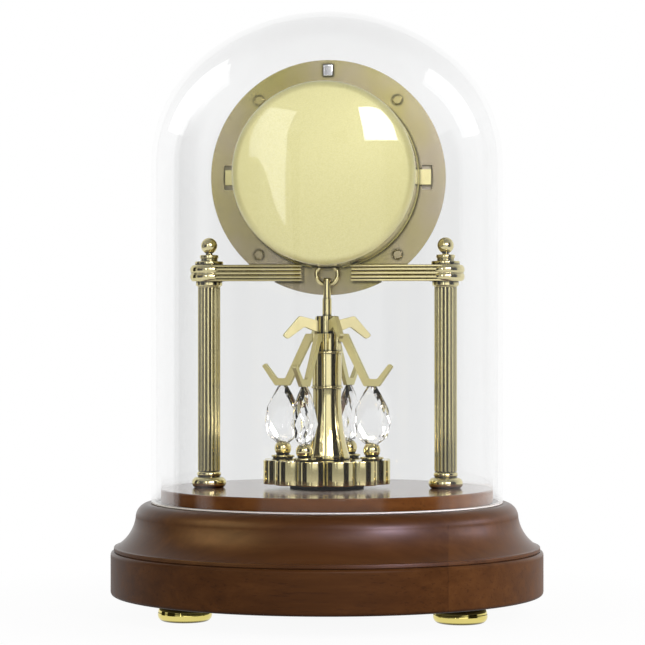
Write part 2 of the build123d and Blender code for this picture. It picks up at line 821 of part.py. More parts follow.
with BuildPart() as battery:
    end = Plane(origin=(-battery_length / 2, battery_y, battery_z), x_dir=(0, 1, 0), z_dir=(1, 0, 0))
    with BuildSketch(end):
        Circle(battery_radius)
    extrude(amount=battery_length - battery_button_height)
    fillet(battery.edges(), battery_button_height / 2)
    with BuildSketch(end):
        Circle(battery_button_radius)
    extrude(amount=battery_length)
keep(battery, "battery")

with BuildPart() as battery_contacts:
    for start in (battery_length / 2, -trough_half):
        with BuildSketch(Plane(origin=(start, battery_y, battery_z), x_dir=(0, 1, 0), z_dir=(1, 0, 0))):
            Rectangle(contact_side, contact_side)
        extrude(amount=contact_thickness)
keep(battery_contacts, "battery_contacts")

with BuildPart() as circuit_board:
    with BuildSketch(front(case_back_y, board_x, dial_z + board_drop)):
        Rectangle(board_width, board_height)
    extrude(amount=board_thickness)
keep(circuit_board, "circuit_board")

# Sealed module with the stepping motor and reduction train, and its coil beside it
with BuildPart() as train_module:
    with BuildSketch(front(train_y)):
        with Locations(((train_right - train_left) / 2, 0)):
            Rectangle(train_left + train_right, 2 * train_half_height)
    extrude(amount=-train_depth)
    with BuildSketch(front(train_y)):
        Circle(pivot_radius + run_fit)
    extrude(amount=-(pivot_length + slip_gap), mode=Mode.SUBTRACT)
keep(train_module, "train_module")

coil_x = train_right + coil_radius
coil_y = train_y + train_depth / 2
with BuildPart() as motor_coil:
    with BuildSketch(Plane(origin=(coil_x, coil_y, dial_z - coil_length / 2), z_dir=(0, 0, 1))):
        Circle(coil_radius)
    extrude(amount=coil_length)
    with BuildSketch(Plane(origin=(coil_x, coil_y, dial_z - coil_length / 2 - coil_core_overhang),
                           z_dir=(0, 0, 1))):
        Circle(coil_core_radius)
    extrude(amount=coil_length + 2 * coil_core_overhang)
keep(motor_coil, "motor_coil")

# Motion work: cannon pinion on the minute arbor, minute wheel and pinion, hour wheel on its pipe
with BuildPart() as minute_arbor:
    with BuildSketch(front(minute_wheel_y)):
        with BuildLine():
            toothed(cannon_teeth, tooth_module, minute_wheel_angle)
        make_face()
    extrude(amount=-pinion_thickness)
    with BuildSketch(front(minute_wheel_y)):
        Circle(arbor_radius)
    extrude(amount=minute_wheel_y - minute_hand_y + slip_gap)
    with BuildSketch(front(work_end_y)):
        Circle(pivot_radius)
    extrude(amount=work_end_y - train_y - pivot_length)
keep(minute_arbor, "minute_arbor")

with BuildPart() as minute_wheel:
    with BuildSketch(front(minute_wheel_y, minute_x, minute_z)):
        with BuildLine():
            toothed(minute_teeth, tooth_module, minute_wheel_angle + 180 + 180 / minute_teeth)
        make_face()
    extrude(amount=-pinion_thickness)
    with BuildSketch(front(minute_wheel_y, minute_x, minute_z)):
        with BuildLine():
            toothed(minute_pinion_teeth, pinion_module, minute_wheel_angle + 180)
        make_face()
    extrude(amount=minute_wheel_y - hour_wheel_y)
    with BuildSketch(front(work_end_y, minute_x, minute_z)):
        Circle(minute_pin_radius + run_fit)
    extrude(amount=work_end_y - hour_wheel_y, mode=Mode.SUBTRACT)
keep(minute_wheel, "minute_wheel")

with BuildPart() as hour_wheel:
    with BuildSketch(front(hour_wheel_y)):
        with BuildLine():
            toothed(hour_teeth, pinion_module, minute_wheel_angle + 180 / hour_teeth)
        make_face()
    extrude(amount=-wheel_thickness)
    with BuildSketch(front(hour_wheel_y)):
        Circle(hour_pipe_radius)
    extrude(amount=hour_wheel_y - hour_hand_y)
    with BuildSketch(front(hour_wheel_y + wheel_thickness)):
        Circle(arbor_bore)
    extrude(amount=hour_wheel_y + wheel_thickness - hour_hand_y, mode=Mode.SUBTRACT)
keep(hour_wheel, "hour_wheel")

with BuildPart() as set_knob:
    with BuildSketch(front(minute_wheel_y, setting_x, setting_z)):
        with BuildLine():
            toothed(setting_teeth, tooth_module, setting_angle - 180)
        make_face()
    extrude(amount=-pinion_thickness)
    with BuildSketch(front(work_end_y, setting_x, setting_z)):
        Circle(pivot_radius)
    extrude(amount=work_end_y - lid_back_y - slip_gap)
    with BuildSketch(front(lid_back_y + slip_gap, setting_x, setting_z)):
        Circle(knob_radius)
        with PolarLocations(knob_radius, knob_flutes):
            Circle(knob_flute_radius, mode=Mode.SUBTRACT)
    extrude(amount=-knob_height)
keep(set_knob, "set_knob")


def lance(length, width):
    """Outline of a hand: a long blade, widest near the hub, and a short tail."""
    Polyline((0, -hand_tail), (width / 2, -hand_tail / 2), (width / 4, 0), (width / 2, length * widest_share),
             (0, length), (-width / 2, length * widest_share), (-width / 4, 0),
             (-width / 2, -hand_tail / 2), close=True)


for hand_name, hand_y, length, width, bore, angle in (
        ("hour_hand", hour_hand_y, hour_hand_length, hour_hand_width, hour_pipe_radius, hour_hand_angle),
        ("minute_hand", minute_hand_y, minute_hand_length, minute_hand_width, arbor_radius,
         minute_hand_angle)):
    turn = radians(angle)
    hand_plane = Plane(origin=(0, hand_y, dial_z), x_dir=(cos(turn), 0, -sin(turn)), z_dir=(0, -1, 0))
    with BuildPart() as clock_hand:
        with BuildSketch(hand_plane):
            with BuildLine():
                lance(length, width)
            make_face()
            Circle(hand_hub_radius)
            Circle(bore + push_fit, mode=Mode.SUBTRACT)
        extrude(amount=-hand_thickness)
    keep(clock_hand, hand_name)

# Sealed drive of the eye, and the eye: a bent wire ring on a spindle, open at the top
case_floor_z = dial_z - case_side / 2 + case_wall
with BuildPart() as pendulum_motor:
    with BuildSketch(Plane.XY.offset(case_floor_z)):
        Rectangle(2 * motor_half_width, 2 * motor_half_depth)
        Circle(spindle_radius + run_fit, mode=Mode.SUBTRACT)
    extrude(amount=spindle_grip)
    with BuildSketch(Plane.XY.offset(case_floor_z + spindle_grip)):
        Rectangle(2 * motor_half_width, 2 * motor_half_depth)
    extrude(amount=motor_height - spindle_grip)
keep(pendulum_motor, "pendulum_motor")

with BuildPart() as eye_spindle:
    with BuildSketch(Plane.XY.offset(eye_z)):
        with Locations((eye_radius, 0)):
            Circle(eye_wire_radius)
    revolve(axis=Axis((0, 0, eye_z), (0, 1, 0)))
    with Locations((spindle_radius + eye_gap, 0, eye_z + eye_radius)):
        Box(eye_gap, 2 * eye_wire_radius + overrun, 2 * eye_wire_radius + overrun, mode=Mode.SUBTRACT)
    with BuildSketch(Plane.XY.offset(eye_z + eye_radius)):
        Circle(spindle_radius)
    extrude(amount=case_floor_z + spindle_grip - slip_gap - eye_z - eye_radius)
keep(eye_spindle, "eye_spindle")

# Suspension rod: drilled across near its top for the eye's wire, with a stud down into the pendulum
wire_sag = eye_radius - sqrt(eye_radius ** 2 - hang_radius ** 2)
hang_hole_z = eye_z - eye_radius + wire_sag / 2
hang_hole_radius = eye_wire_radius + wire_sag / 2 + hang_hole_clearance
rod_head_z = hang_hole_z + hang_top_rise
lower_rod_z = rod_head_z - hang_length
shoulder_z = lower_rod_z - lower_rod_length
with BuildPart() as suspension_rod:
    with BuildSketch(upright()):
        with BuildLine():
            steps_profile([(rod_radius, stud_length), (lower_rod_radius, lower_rod_length),
                           (hang_radius, hang_length)], shoulder_z - stud_length)
        make_face()
    revolve(axis=Axis.Z)
    fillet(suspension_rod.edges().filter_by(GeomType.CIRCLE).sort_by(Axis.Z)[-1], hang_radius / 2)
    with BuildSketch(Plane(origin=(-hang_radius - overrun, 0, hang_hole_z), x_dir=(0, 1, 0), z_dir=(1, 0, 0))):
        Circle(hang_hole_radius)
    extrude(amount=2 * (hang_radius + overrun), mode=Mode.SUBTRACT)
keep(suspension_rod, "suspension_rod")

# Pendulum body: scalloped plate, flared bell, drum and hub, threaded on the stud and a bolt from below
pendulum_bottom_z = platform_z + pendulum_clearance
bell_z = pendulum_bottom_z + pendulum_plate_height
hub_top_z = shoulder_z - hub_neck_height
hub_z = hub_top_z - hub_height
drum_z = hub_z - drum_height
bell_top_z = drum_z
lobe_half = radians(180 / plate_lobes)
cusp_x = pendulum_cusp_radius * cos(lobe_half)
lobe_centre = ((pendulum_plate_radius ** 2 - pendulum_cusp_radius ** 2)
               / (2 * (pendulum_plate_radius - cusp_x)))
lobe_radius = pendulum_plate_radius - lobe_centre
with BuildPart() as pendulum_plate:
    with BuildSketch(Plane.XY.offset(pendulum_bottom_z)):
        Circle(cusp_x)
        with PolarLocations(lobe_centre, plate_lobes,
                            start_angle=pendulum_angle + lobe_shift + 180 / plate_lobes):
            Circle(lobe_radius)
    extrude(amount=pendulum_plate_height)
    chamfer(pendulum_plate.faces().sort_by(Axis.Z)[-1].edges(), pendulum_plate_edge)
    with BuildSketch(Plane.XY.offset(pendulum_bottom_z)):
        Circle(bolt_radius + push_fit)
    extrude(amount=pendulum_plate_height, mode=Mode.SUBTRACT)
    with BuildSketch(Plane.XY.offset(pendulum_bottom_z)):
        Circle(bolt_head_radius + slip_gap)
    extrude(amount=bolt_head_height + slip_gap, mode=Mode.SUBTRACT)
keep(pendulum_plate, "pendulum_plate")

bell_mid_height_share = 0.42
bell_mid_flare_share = 0.24
bell_flare = bell_foot_radius - bell_neck_radius
bell_rim_z = bell_z + bell_foot_height
with BuildPart() as pendulum_bell:
    with BuildSketch(upright()):
        with BuildLine():
            Polyline((bolt_radius + push_fit, bell_z), (bell_foot_radius, bell_z), (bell_foot_radius, bell_rim_z))
            ThreePointArc((bell_foot_radius, bell_rim_z),
                          (bell_neck_radius + bell_flare * bell_mid_flare_share,
                           bell_rim_z + (bell_top_z - bell_rim_z) * bell_mid_height_share),
                          (bell_neck_radius, bell_top_z))
            Polyline((bell_neck_radius, bell_top_z), (bolt_radius + push_fit, bell_top_z),
                     (bolt_radius + push_fit, bell_z))
        make_face()
    revolve(axis=Axis.Z)
keep(pendulum_bell, "pendulum_bell")

with BuildPart() as pendulum_drum:
    with BuildSketch(upright()):
        with BuildLine():
            steps_profile([(drum_collar_radius, drum_collar_height),
                           (drum_radius, drum_height - 2 * drum_collar_height),
                           (drum_collar_radius, drum_collar_height)], drum_z, rod_radius + push_fit)
        make_face()
    revolve(axis=Axis.Z)
    fillet(pendulum_drum.edges().filter_by(GeomType.CIRCLE).filter_by(
        lambda edge: edge.radius > drum_radius + push_fit), drum_collar_height / 3)
keep(pendulum_drum, "pendulum_drum")

arm_azimuths = [pendulum_angle + number * 360 / arm_count for number in range(arm_count)]
wing_azimuths = [azimuth + 180 / arm_count for azimuth in arm_azimuths]
blade_slot = blade_thickness + 2 * blade_seat_clearance
hanger_root = hub_radius - blade_seat_depth
wing_root = hub_neck_radius - blade_seat_depth
with BuildPart() as pendulum_hub:
    with BuildSketch(Plane.XY.offset(hub_z)):
        Circle(hub_radius)
        with PolarLocations(hub_radius + hub_notch_offset, hub_notches,
                            start_angle=pendulum_angle + 180 / hub_notches):
            Circle(hub_notch_radius, mode=Mode.SUBTRACT)
    extrude(amount=hub_height)
    with BuildSketch(Plane.XY.offset(hub_top_z)):
        Circle(hub_neck_radius)
    extrude(amount=shoulder_z - hub_top_z)
    with BuildSketch(Plane.XY.offset(hub_z)):
        Circle(rod_radius + push_fit)
    extrude(amount=shoulder_z - hub_z, mode=Mode.SUBTRACT)
    slot_depth = blade_seat_depth + blade_seat_clearance
    with BuildSketch(Plane.XY.offset(hub_top_z - hanger_tab - blade_seat_clearance)):
        with PolarLocations(hub_radius - slot_depth / 2 + overrun / 2, arm_count, start_angle=pendulum_angle):
            Rectangle(slot_depth + overrun, blade_slot)
    extrude(amount=hanger_tab + blade_seat_clearance, mode=Mode.SUBTRACT)
    with BuildSketch(Plane.XY.offset(hub_top_z)):
        with PolarLocations(hub_neck_radius - slot_depth / 2 + overrun / 2, arm_count,
                            start_angle=wing_azimuths[0]):
            Rectangle(slot_depth + overrun, blade_slot)
    extrude(amount=shoulder_z - hub_top_z, mode=Mode.SUBTRACT)
keep(pendulum_hub, "pendulum_hub")

# Hangers: hooked plates from the hub, each over one drop. Shares are of reach and of drop from the top
hanger_foot_z = hub_top_z - hanger_drop
hanger_shares = [(0.32, 1.0), (0.638, 0.141), (0.771, 0.141), (0.949, 0.431), (1.0, 0.376),
                 (0.797, 0.0), (0.571, 0.0), (0.243, 0.845)]
with BuildPart() as hangers:
    for azimuth in arm_azimuths:
        with BuildSketch(radial(azimuth)) as blade:
            with BuildLine():
                Polyline((hanger_root, hub_top_z),
                         *[(reach * hanger_reach, hanger_foot_z + rise * hanger_drop)
                           for reach, rise in hanger_shares],
                         (hanger_root, hub_top_z - hanger_tab), close=True)
            make_face()
            fillet(blade.vertices(), blade_round)
        extrude(amount=blade_thickness / 2, both=True)
keep(hangers, "hangers")

# Wings: bent plates between the hangers. Shares are of reach and of rise above the hub's shoulder
wing_shares = [(0.363, 0.21), (0.522, 0.384), (0.929, -0.244), (1.0, -0.175), (0.624, 1.0)]
wing_top_share = 0.68
with BuildPart() as wings:
    for azimuth in wing_azimuths:
        with BuildSketch(radial(azimuth)) as blade:
            with BuildLine():
                Polyline((wing_root, hub_top_z),
                         *[(reach * wing_reach, hub_top_z + rise * wing_rise) for reach, rise in wing_shares],
                         (wing_root, hub_top_z + wing_top_share * wing_rise), close=True)
            make_face()
            fillet(blade.vertices(), blade_round)
        extrude(amount=blade_thickness / 2, both=True)
keep(wings, "wings")

with BuildPart() as pendulum_bolt:
    with BuildSketch(upright()):
        with BuildLine():
            steps_profile([(bolt_head_radius, bolt_head_height),
                           (bolt_radius, shoulder_z - stud_length - bolt_gap
                            - pendulum_bottom_z - slip_gap - bolt_head_height)],
                          pendulum_bottom_z + slip_gap)
        make_face()
    revolve(axis=Axis.Z)
keep(pendulum_bolt, "pendulum_bolt")

# Ball seats on washers, and the cut-glass drops between seat and hanger
seat_places = [(crystal_circle * cos(radians(azimuth)), crystal_circle * sin(radians(azimuth)))
               for azimuth in arm_azimuths]
ball_z = bell_z + seat_washer_height + seat_ball_radius - seat_ball_sink
with BuildPart() as crystal_seats:
    with BuildSketch(Plane.XY.offset(bell_z)):
        with Locations(*seat_places):
            Circle(seat_washer_radius)
    extrude(amount=seat_washer_height)
    chamfer(crystal_seats.faces().group_by(Axis.Z)[-1].edges(), seat_washer_height / 3)
    with Locations(*[(x, y, ball_z) for x, y in seat_places]):
        Sphere(seat_ball_radius)
    with BuildSketch(Plane.XY.offset(bell_z)):
        Rectangle(2 * plate_radius, 2 * plate_radius)
    extrude(amount=-seat_ball_radius, mode=Mode.SUBTRACT)
keep(crystal_seats, "crystal_seats")

crystal_foot_z = ball_z + seat_ball_radius - crystal_foot_drop
crystal_height = hanger_foot_z - crystal_foot_z
crystal_sides = 8
crystal_shares = [(0.0, 0.34), (0.14, 0.8), (0.36, 1.0), (0.62, 0.8), (0.86, 0.46), (1.0, 0.24)]
with BuildPart() as crystals:
    for azimuth, (x, y) in zip(arm_azimuths, seat_places):
        turn = radians(azimuth)
        for rise, breadth in crystal_shares:
            section = Plane(origin=(x, y, crystal_foot_z + rise * crystal_height),
                            x_dir=(cos(turn), sin(turn), 0), z_dir=(0, 0, 1))
            with BuildSketch(section):
                with BuildLine():
                    Polyline(*[(breadth * crystal_width / 2 * cos(radians(360 * side / crystal_sides)),
                                breadth * crystal_thickness / 2 * sin(radians(360 * side / crystal_sides)))
                               for side in range(crystal_sides)], close=True)
                make_face()
        loft(ruled=True)
    with Locations(*[(x, y, ball_z) for x, y in seat_places]):
        Sphere(seat_ball_radius + push_fit, mode=Mode.SUBTRACT)
keep(crystals, "crystals")
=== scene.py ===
# %% [markdown]
# # A desk clock under a glass dome
# The clock stands with its back to the camera: a turned wooden base on three brass feet, two reeded columns
# that carry the dial plate, a pull-off cup over the works, and a revolving pendulum with four cut-glass drops.
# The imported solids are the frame. A piece whose shape is right keeps its solid and gets a finish; the pieces
# that catch the light along their edges are worked out again as smooth numpy surfaces in the same place.

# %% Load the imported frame
import json

import bpy
import numpy as np
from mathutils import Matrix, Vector


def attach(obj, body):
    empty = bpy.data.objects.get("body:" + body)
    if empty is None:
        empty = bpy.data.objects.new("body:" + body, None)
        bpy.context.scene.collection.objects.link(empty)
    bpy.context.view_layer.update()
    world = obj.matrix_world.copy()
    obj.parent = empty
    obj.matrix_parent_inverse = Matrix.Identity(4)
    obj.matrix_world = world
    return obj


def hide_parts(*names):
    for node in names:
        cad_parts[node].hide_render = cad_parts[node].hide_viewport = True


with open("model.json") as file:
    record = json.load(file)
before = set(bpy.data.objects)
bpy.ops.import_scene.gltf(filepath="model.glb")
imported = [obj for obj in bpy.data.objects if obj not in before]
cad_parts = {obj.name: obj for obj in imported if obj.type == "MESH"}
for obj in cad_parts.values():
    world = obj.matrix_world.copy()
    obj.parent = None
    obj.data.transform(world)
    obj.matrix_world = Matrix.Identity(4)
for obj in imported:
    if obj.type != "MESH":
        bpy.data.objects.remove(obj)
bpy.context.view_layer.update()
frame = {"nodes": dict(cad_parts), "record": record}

MM = 0.001
DIAL_Z = 212.7      # height of the dial's middle, in millimetres like all lengths below
PLATE_BACK = -8.5   # y of the dial plate's back face
COLUMN_X = 57.7     # columns stand this far from the middle

# %% [markdown]
# ## The camera
# The photograph was taken from behind, a little to the clock's own right, almost level with the middle of the
# dome. A long lens keeps the columns upright. The aim is slightly off the axis because the clock stands
# a little to the right of the picture's middle.

# %% Camera
camera_at = Vector((-0.0733, 1.1978, 0.1354))
camera_aim = Vector((0.0022, 0.0, 0.1415))
lens = bpy.data.cameras.new("camera")
lens.lens = 137.5
lens.sensor_width = 36.0
camera = bpy.data.objects.new("camera", lens)
camera.location = camera_at
camera.rotation_euler = (camera_aim - camera_at).to_track_quat("-Z", "Y").to_euler()
bpy.context.collection.objects.link(camera)
bpy.context.scene.camera = camera
print("camera", round((camera_aim - camera_at).length, 3), "m away")

# %% [markdown]
# ## Surfaces as arrays
# Nearly everything on this clock was turned on a lathe, pressed from sheet or drawn through a die, so four
# helpers make nearly every piece: a profile carried round an axis, a stack of rings, a closed ring section,
# and a flat plate with softened edges. Each returns points and faces as arrays, in millimetres, so that
# pieces can be joined and placed before anything becomes a mesh.

# %% Surface helpers
def soften(points, radius, steps=5):
    """Round every inner corner P of an open line: a quadratic curve (1-t)^2 A + 2t(1-t) P + t^2 B, where
    A and B lie a radius before and after P, and never past 0.45 of the shorter run beside it."""
    p = np.asarray(points, float)
    back, ahead = p[:-2] - p[1:-1], p[2:] - p[1:-1]
    back_run = np.linalg.norm(back, axis=1, keepdims=True)
    ahead_run = np.linalg.norm(ahead, axis=1, keepdims=True)
    reach = np.minimum(radius, 0.45 * np.minimum(back_run, ahead_run))
    a = (p[1:-1] + back / back_run * reach)[:, None]
    b = (p[1:-1] + ahead / ahead_run * reach)[:, None]
    t = np.linspace(0, 1, steps)[None, :, None]
    bend = (1 - t) ** 2 * a + 2 * t * (1 - t) * p[1:-1][:, None] + t ** 2 * b
    return np.vstack([p[:1], bend.reshape(-1, p.shape[1]), p[-1:]])


def skin(rows, columns, wrap_rows=False):
    """Quads of a grid of rows x columns points that closes on itself along each row, and over the rows too
    where the section is a closed ring."""
    i = np.arange(rows if wrap_rows else rows - 1)[:, None]
    j = np.arange(columns)[None, :]
    up, on = (i + 1) % rows, (j + 1) % columns
    return np.stack([i * columns + j, i * columns + on, up * columns + on, up * columns + j], -1).reshape(-1, 4)


def stacked(rings, low, high):
    """A closed skin over rings[row, column], with one point below the first ring and one above the last."""
    rows, columns = rings.shape[:2]
    points = np.vstack([rings.reshape(-1, 3), [low], [high]])
    j = np.arange(columns)
    on = (j + 1) % columns
    foot = np.stack([on, j, np.full(columns, rows * columns)], -1)
    last = (rows - 1) * columns
    head = np.stack([last + j, last + on, np.full(columns, rows * columns + 1)], -1)
    return points, [skin(rows, columns), foot, head]


def turned(profile, segments=128):
    """A profile of (radius r, height z) carried round the axis: (r cos a, r sin a, z). It starts and ends on
    the axis, so both poles are closed."""
    profile = np.asarray(profile, float)
    a = np.linspace(0, 2 * np.pi, segments, endpoint=False)
    r, z = profile[1:-1, :1], profile[1:-1, 1:]
    rings = np.stack([r * np.cos(a), r * np.sin(a), z + 0 * a], -1)
    return stacked(rings, (0, 0, profile[0, 1]), (0, 0, profile[-1, 1]))


def ringed(section, segments=128):
    """A closed section of (radius, height) carried round the axis, for a ring with a hole in it."""
    section = np.asarray(section, float)
    a = np.linspace(0, 2 * np.pi, segments, endpoint=False)
    r, z = section[:, :1], section[:, 1:]
    rings = np.stack([r * np.cos(a), r * np.sin(a), z + 0 * a], -1)
    return rings.reshape(-1, 3), [skin(len(section), segments, wrap_rows=True)]


def lobed(count, centre, radius, samples):
    """Angles and radii of a ring of round lobes. At the angle f from its own middle, a lobe of that radius
    about a point at that centre distance is at c cos f + sqrt(r^2 - c^2 sin^2 f)."""
    a = np.linspace(0, 2 * np.pi, count * samples, endpoint=False)
    pitch = 2 * np.pi / count
    f = (a + pitch / 2) % pitch - pitch / 2
    return a, centre * np.cos(f) + np.sqrt(radius ** 2 - (centre * np.sin(f)) ** 2)


def joined(*shapes):
    """Several shapes as one: the points one after another, and each shape's faces counted on from there."""
    starts = np.cumsum([0] + [len(points) for points, _ in shapes[:-1]])
    return (np.vstack([points for points, _ in shapes]),
            [block + start for (_, faces), start in zip(shapes, starts) for block in faces])


def placed(shape, shift=(0, 0, 0), turn=0.0):
    """A shape turned about the upright axis by so many degrees, then shifted."""
    points, faces = shape
    c, s = np.cos(np.radians(turn)), np.sin(np.radians(turn))
    return points @ np.array([[c, s, 0], [-s, c, 0], [0, 0, 1]]) + np.asarray(shift, float), faces


def facing(shape, z=DIAL_Z):
    """A shape turned on the upright axis, laid so that its axis looks along +Y from the dial plate's back:
    (x, y, z) becomes (x, z, -y)."""
    points, faces = shape
    return points @ np.array([[1, 0, 0], [0, 0, -1], [0, 1, 0]]) + np.array([0, PLATE_BACK, z]), faces


def plate(outline, low, high, edge, steps=3):
    """A flat plate in the x-y plane between two heights. Its outline steps in along each point's normal by
    edge (1 - sin q) while the height runs the last edge (1 - cos q), so the arris is a quarter round."""
    p = np.asarray(outline, float)
    ahead = np.roll(p, -1, 0) - p
    ahead /= np.linalg.norm(ahead, axis=1, keepdims=True)
    normal = np.stack([ahead[:, 1], -ahead[:, 0]], -1)
    mitre = normal + np.roll(normal, 1, 0)
    mitre /= np.maximum(1 + np.sum(normal * np.roll(normal, 1, 0), 1, keepdims=True), 0.3)
    q = np.linspace(0, np.pi / 2, steps)
    inset = np.concatenate([edge * (1 - np.sin(q)), edge * (1 - np.cos(q))])
    height = np.concatenate([low + edge * (1 - np.cos(q)), high - edge * (1 - np.sin(q))])
    flat = p[None] - mitre[None] * inset[:, None, None]
    rings = np.concatenate([flat, np.broadcast_to(height[:, None, None], flat.shape[:2] + (1,))], -1)
    rows, columns = rings.shape[:2]
    lid = np.arange(columns)
    return rings.reshape(-1, 3), [skin(rows, columns), lid[None, ::-1], (lid + (rows - 1) * columns)[None]]


print("helpers for turned, ringed, lobed and plate shapes ready")

# %% [markdown]
# ## Shader sums
# A finish is easier to read as a sum than as a tree of boxes. `Wire` holds one output socket: adding,
# multiplying or raising it makes the Math node for that step, and `node` makes any other node from its type,
# its settings and the values or wires of its sockets.

# %% Wire class
class Wire:
    """One output socket of a node tree, for use in sums."""

    def __init__(self, tree, socket=None):
        self.tree, self.socket = tree, socket

    def node(self, kind, settings=None, sockets=None, output=0):
        """Make a node: settings first, then the values or wires of its sockets, and give one output."""
        made = self.tree.nodes.new(kind)
        for key, value in (settings or {}).items():
            if key == "stops":
                ramp = made.color_ramp
                while len(ramp.elements) < len(value):
                    ramp.elements.new(0.5)
                for element, (place, colour) in zip(ramp.elements, value):
                    element.position, element.color = place, (*colour, 1.0)
            else:
                setattr(made, key, value)
        for key, value in (sockets or {}).items():
            if isinstance(value, Wire):
                self.tree.links.new(value.socket, made.inputs[key])
            else:
                made.inputs[key].default_value = value
        return Wire(self.tree, made.outputs[output] if made.outputs else None)

    def math(self, operation, first, second=0.0):
        return self.node("ShaderNodeMath", {"operation": operation}, {0: first, 1: second})

    def __add__(self, other):
        return self.math("ADD", self, other)

    def __sub__(self, other):
        return self.math("SUBTRACT", self, other)

    def __rsub__(self, other):
        return self.math("SUBTRACT", other, self)

    def __mul__(self, other):
        return self.math("MULTIPLY", self, other)

    def __truediv__(self, other):
        return self.math("DIVIDE", self, other)

    def __pow__(self, other):
        return self.math("POWER", self, other)

    __radd__, __rmul__ = __add__, __mul__


def bench(name):
    """A new finish: its material and an empty wire on its tree."""
    material = bpy.data.materials.new(name)
    material.use_nodes = True
    material.node_tree.nodes.clear()
    return material, Wire(material.node_tree)


def surface(wire, shader):
    """Send a shader to the material's output."""
    wire.node("ShaderNodeOutputMaterial", None, {"Surface": shader})


def noise(wire, scale, stretch=(1, 1, 1), detail=4.0, roughness=0.5, distortion=0.0, turn=(0, 0, 0)):
    """Noise from 0 to 1 on the object's own coordinates, turned and stretched by a Mapping node."""
    where = wire.node("ShaderNodeTexCoord", None, None, "Object")
    spread = wire.node("ShaderNodeMapping", None, {"Vector": where, "Scale": stretch, "Rotation": turn})
    return wire.node("ShaderNodeTexNoise", {"noise_dimensions": "3D"},
                     {"Vector": spread, "Scale": scale, "Detail": detail, "Roughness": roughness,
                      "Distortion": distortion})


def blend(wire, share, first, second):
    """A colour between two, by a share from 0 to 1."""
    ends = [value if isinstance(value, Wire) else (*value, 1.0) for value in (first, second)]
    return wire.node("ShaderNodeMix", {"data_type": "RGBA"}, {0: share, 6: ends[0], 7: ends[1]}, 2)


def held(wire, value):
    """A value held between 0 and 1."""
    return wire.math("MINIMUM", wire.math("MAXIMUM", value, 0.0), 1.0)


def bump(wire, height, strength, distance):
    """A surface normal tilted by a height."""
    return wire.node("ShaderNodeBump", None, {"Height": height, "Strength": strength, "Distance": distance})


def metal(name, colour, shade, low, high, grain, stretch=(1, 1, 1), lines=0.02, change=1.0):
    """A metal that is a little uneven: two close colours and a roughness between low and high, on cloudy
    noise, with a faint bump of fine polishing lines along the stretch. The change says how sharply one colour
    goes over into the other. Hollows and the seams between parts get painted shade: the colour goes nearly
    black where little open air lies within 1.4 mm of a point."""
    material, wire = bench(name)
    clouds = noise(wire, grain, stretch, 3.0)
    fine = noise(wire, grain * 14, stretch, 2.0)
    open_air_shade = wire.node("ShaderNodeAmbientOcclusion", {"samples": 8}, {"Distance": 0.0014}, "AO")
    unshaded = blend(wire, held(wire, (clouds - 0.5) * change + 0.5), colour, shade)
    shader = wire.node("ShaderNodeBsdfPrincipled", None, {
        # painted shade: nearly black in hollows and where parts meet, by the share of open air
        "Base Color": blend(wire, open_air_shade ** 3.0, tuple(0.08 * value for value in colour), unshaded),
        "Roughness": clouds * (high - low) + low,
        "Metallic": 1.0,
        "Normal": bump(wire, fine, lines, 0.0002)})
    surface(wire, shader)
    return material


print("shader helpers ready")

# %% [markdown]
# ## Walnut
# The base is stained, satin-lacquered wood, glued up from boards. Long grain runs across the clock (along X),
# so the noise is drawn out along X: a broad figure, fine streaks and short dark pores. Near the glue line,
# which is in the plane x = -60 mm, the streaks lean over. Wood is not metal: the shine is a clear coat over
# a soft brown, thin on the mouldings and thick and smooth on the platform, which mirrors the brass above it.

